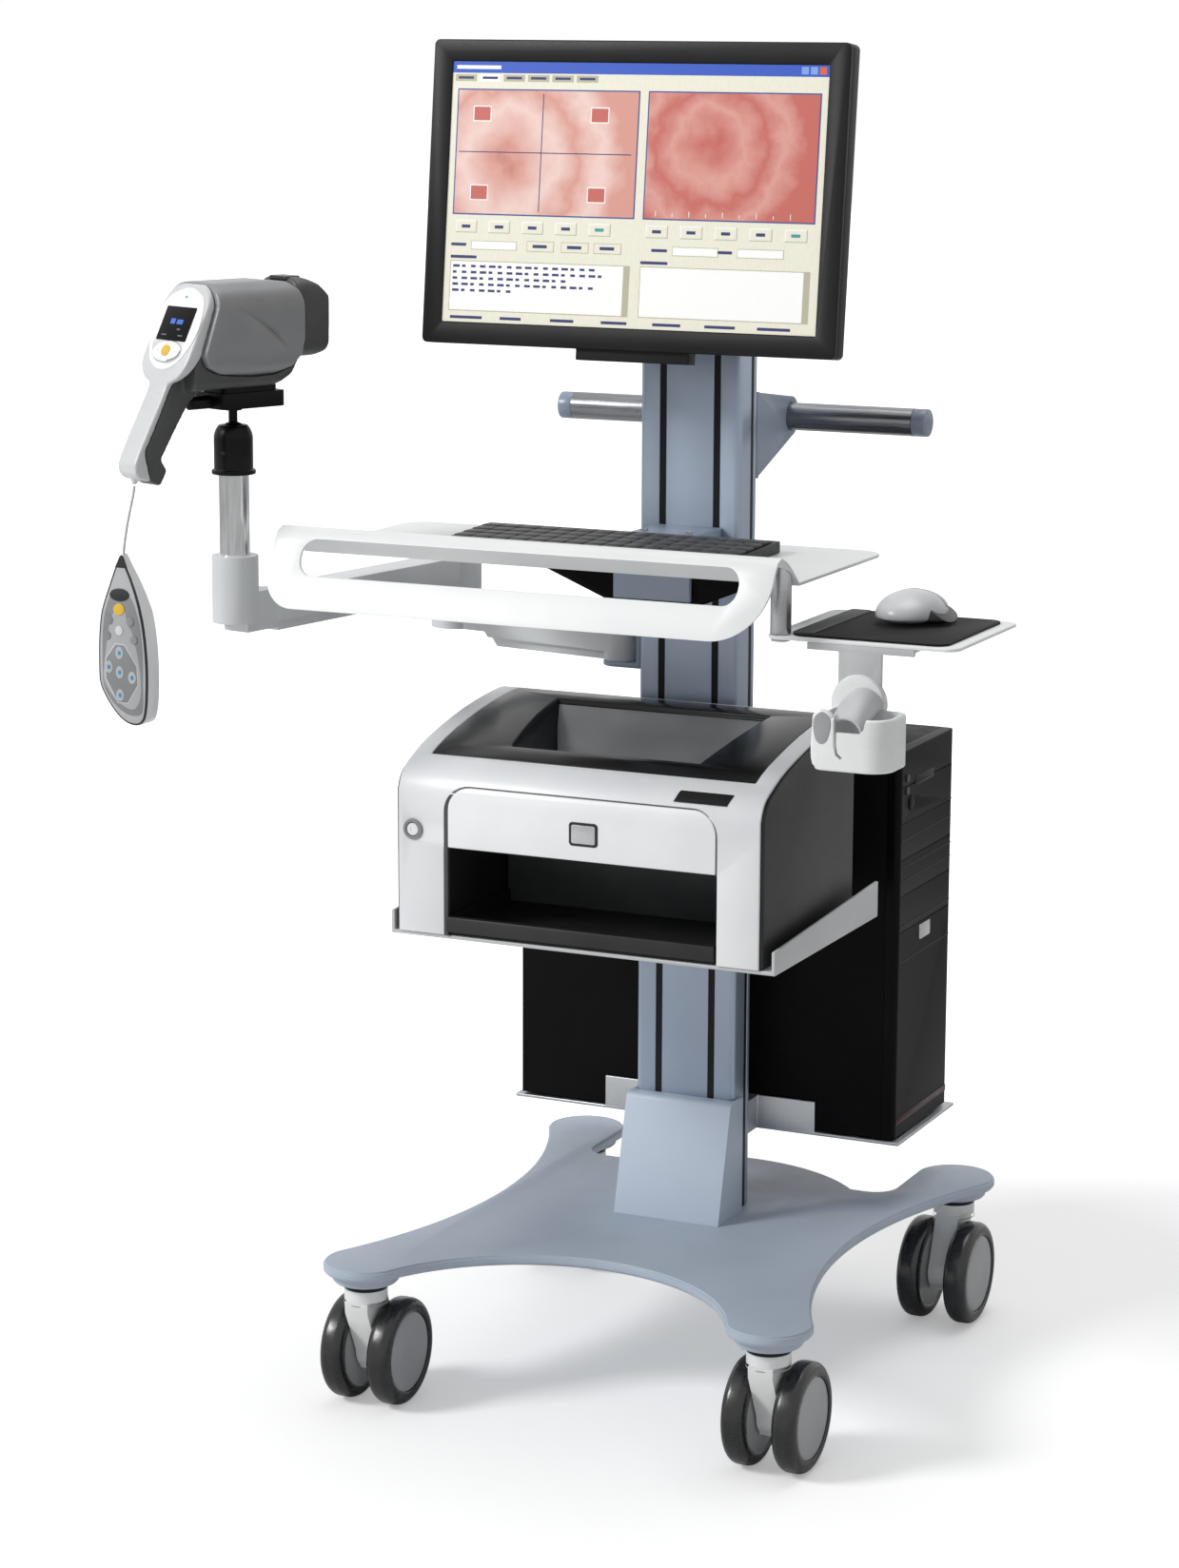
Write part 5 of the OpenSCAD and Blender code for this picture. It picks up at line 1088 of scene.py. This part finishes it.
def make_printer():
    """Shelf, dark case, white cover with its door, glossy lid with the well, tray and switch"""
    dress("printer_shelf", "grey sheet", 0.9)
    dress("printer_case", "printer dark", 1.6, 3)
    dress("printer_cover", "printer white", 0.9)
    dress("printer_lid", "printer black", 0.9)
    dress("printer_tray", "printer dark", 0.9)
    front = facing(0, PRINTER_FRONT - 0.2, PRINTER_LOW)

    def lay(outline, low, high, edge, name, finish, node="printer_cover"):
        """A plate on the printer's front that follows the cover where it curves back"""
        piece = cut(outline, low, high, edge, 3)
        for height, _ in COVER_BROW[:-1]:
            crease(piece, (0, height * MM, 0), (0, 1, 0))
        for vertex in piece.data.vertices:
            vertex.co.z -= set_back(vertex.co.y / MM) * MM
        put(piece, front)
        return seat(piece, name, finish, node)

    lay(rounded(-133, 81, 133, 138.2, (0, 0, 24, 24)), -1.2, 0.25, 0.1, "door_seam", "groove grey")
    lay(rounded(-128.6, 81.6, 132, 137, (1.5, 1.5, 21, 21)), -0.8, 1.1, 0.8, "front_door",
        "door white")
    lay(rounded(-133, 0.5, -129.2, 81, (0,) * 4), -4, 0.25, 0.1, "bay_edge_left", "groove grey",
        "printer_case")
    lay(rounded(-8.5, 95, 19.5, 116.5, (3.5,) * 4), 0.8, 1.7, 0.4, "blank_badge_rim", "key dark")
    lay(rounded(-6, 97.4, 17, 114.1, (1.8,) * 4), 1.2, 2.0, 0.2, "blank_badge", "badge silver")
    lay([(89, 142.2), (140, 142.2), (144.5, 153.6), (93.5, 153.6)], 0, 1.0, 0.3,
        "blank_nameplate", "printer black")
    ring = turned([(6.4, 0), (9.4, 0), (9.4, 1.2), (8.8, 1.7), (7.2, 1.7), (6.4, 1.0)], 40)
    switch_place = front @ shift(-164, 95, 0)
    seat(put(ring, switch_place), "switch_ring", "key mid", "printer_cover")
    knob = turned([(0, -6), (5.8, -6), (5.8, 0.8), (5.2, 1.5), (2.4, 1.7), (2.0, 1.2), (0, 1.2)],
                  40)
    seat(put(knob, switch_place), "switch_cap", "door white", "printer_button", instead=True)
    well = cut([(-76, 1), (76, 1), (105, 74), (104, 76), (-104, 76), (-105, 74)], 0, 1)
    put(well, facing(0, -141.6, 590.6, up=(0, 67, 42)))
    seat(well, "well_slope", "well grey", "printer_lid")
    wall = block((-131, -131.5, 452), (131, -130.4, 527), 0.3)
    seat(wall, "bay_rear_wall", "bay grey", "printer_case")


# Computer

PC_RIGHT = 184


def make_computer():
    """Bracket, steel case, front with its bay covers, slot, switches and bare badge"""
    dress("pc_bracket", "bracket steel", 0.8)
    dress("pc_case", "black steel", 0.9)
    dress("pc_front", "deep black", 1.4, 3)
    dress("pc_button", "deep black", 0.8)
    # X runs to the rear over the front panel, Y up from the floor
    panel = facing(PC_RIGHT, 0, 0, (0, 1, 0))

    def lay(outline, high, edge, name, finish):
        seat(put(cut(outline, -1, high, edge), panel), name, finish, "pc_front")

    # The card slot is a near-black patch inside a lighter rim, standing proud rather than cut in:
    # its dark is painted shade of the opening
    lay(rounded(100, 547.4, 151, 556.6, (1.5,) * 4), 0.3, 0.2, "card_slot_rim", "black plastic")
    lay(rounded(103, 549.4, 148, 554.6, (1,) * 4), 0.5, 0.1, "card_slot", "strip")
    for k, z in enumerate((558, 546)):
        button = turned([(0, -1), (3.8, -1), (3.8, 0.8), (3.2, 1.4), (0, 1.2)], 28)
        seat(put(button, panel @ shift(79, z, 0)), f"front_button_{k}", "groove grey", "pc_front")
    for k, z in enumerate((516, 499, 472.5, 459.5, 416, 381)):
        lay(rounded(66, z, 203, z + 0.9, (0,) * 4), 0.25, 0, f"bezel_line_{k}", "black plastic")
    lay(rounded(119, 393.5, 148, 408, (2,) * 4), 0.7, 0.3, "blank_panel_badge", "badge silver")
    lay(rounded(64, 222.5, 203, 229, (0.8,) * 4), 0.4, 0.2, "red_trim", "red strip")


def dress_all():
    make_castors()
    make_stand()
    make_monitor()
    make_trays()
    make_cradle()
    make_arm()
    make_ball_head()
    make_camera_head()
    make_remote()
    make_printer()
    make_computer()


# Room

def make_room():
    """White floor and world, one soft key from the left front and a top light"""
    bpy.ops.object.select_all(action="DESELECT")
    bpy.ops.mesh.primitive_plane_add(size=40)
    floor = bpy.context.object
    floor.name = "floor"
    material, tree, shader, place = new_finish("studio_floor", Roughness=0.9)
    shader.inputs["Base Color"].default_value = colour("#f4f4f4")
    # The floor keeps its shadow near the stand and turns white further out
    away = add(tree, "VectorMath", {"operation": "LENGTH"}, {0: place}).outputs["Value"]
    lift = add(tree, "MapRange", None, {"Value": away, "From Min": 0.6, "From Max": 1.5,
                                        "To Min": 0.3, "To Max": 1.0})
    path = add(tree, "LightPath")
    seen = add(tree, "Math", {"operation": "MULTIPLY"},
               {0: path.outputs["Is Camera Ray"], 1: lift.outputs["Result"]})
    glow = add(tree, "Emission", None, {"Strength": seen.outputs[0]})
    both = add(tree, "AddShader", None, {0: shader.outputs[0], 1: glow.outputs[0]})
    tree.links.new(both.outputs[0], tree.nodes["Material Output"].inputs["Surface"])
    floor.data.materials.append(material)
    world = bpy.data.worlds.new("studio")
    bpy.context.scene.world = world
    world.use_nodes = True
    tree = world.node_tree
    tree.nodes.clear()
    path = add(tree, "LightPath")
    seen = add(tree, "Math", {"operation": "MAXIMUM"},
               {0: path.outputs["Is Camera Ray"], 1: path.outputs["Is Transmission Ray"]})
    seen = add(tree, "Math", {"operation": "MAXIMUM"},
               {0: seen.outputs[0], 1: path.outputs["Is Glossy Ray"]})
    strength = add(tree, "MapRange", None, {"Value": seen.outputs[0], "To Min": 0.33,
                                            "To Max": 1.0})
    backdrop = add(tree, "Background", None, {"Color": (1, 1, 1, 1),
                                              "Strength": strength.outputs["Result"]})
    output = add(tree, "OutputWorld")
    tree.links.new(backdrop.outputs[0], output.inputs["Surface"])
    for name, where, size, power in (("key", (-2.9, -3.1, 3.1), 1.3, 140),
                                     ("top", (0.3, 0.6, 4.2), 2.4, 48)):
        bpy.ops.object.light_add(type="AREA", location=where)
        lamp = bpy.context.object
        lamp.name = name
        lamp.data.size = size
        lamp.data.energy = power
        aim = Vector((0, 0, 0.7)) - Vector(where)
        lamp.rotation_euler = aim.to_track_quat("-Z", "Y").to_euler()


set_camera()
hang_cord()
dress_all()
make_room()
bpy.context.scene.view_settings.view_transform = "Standard"
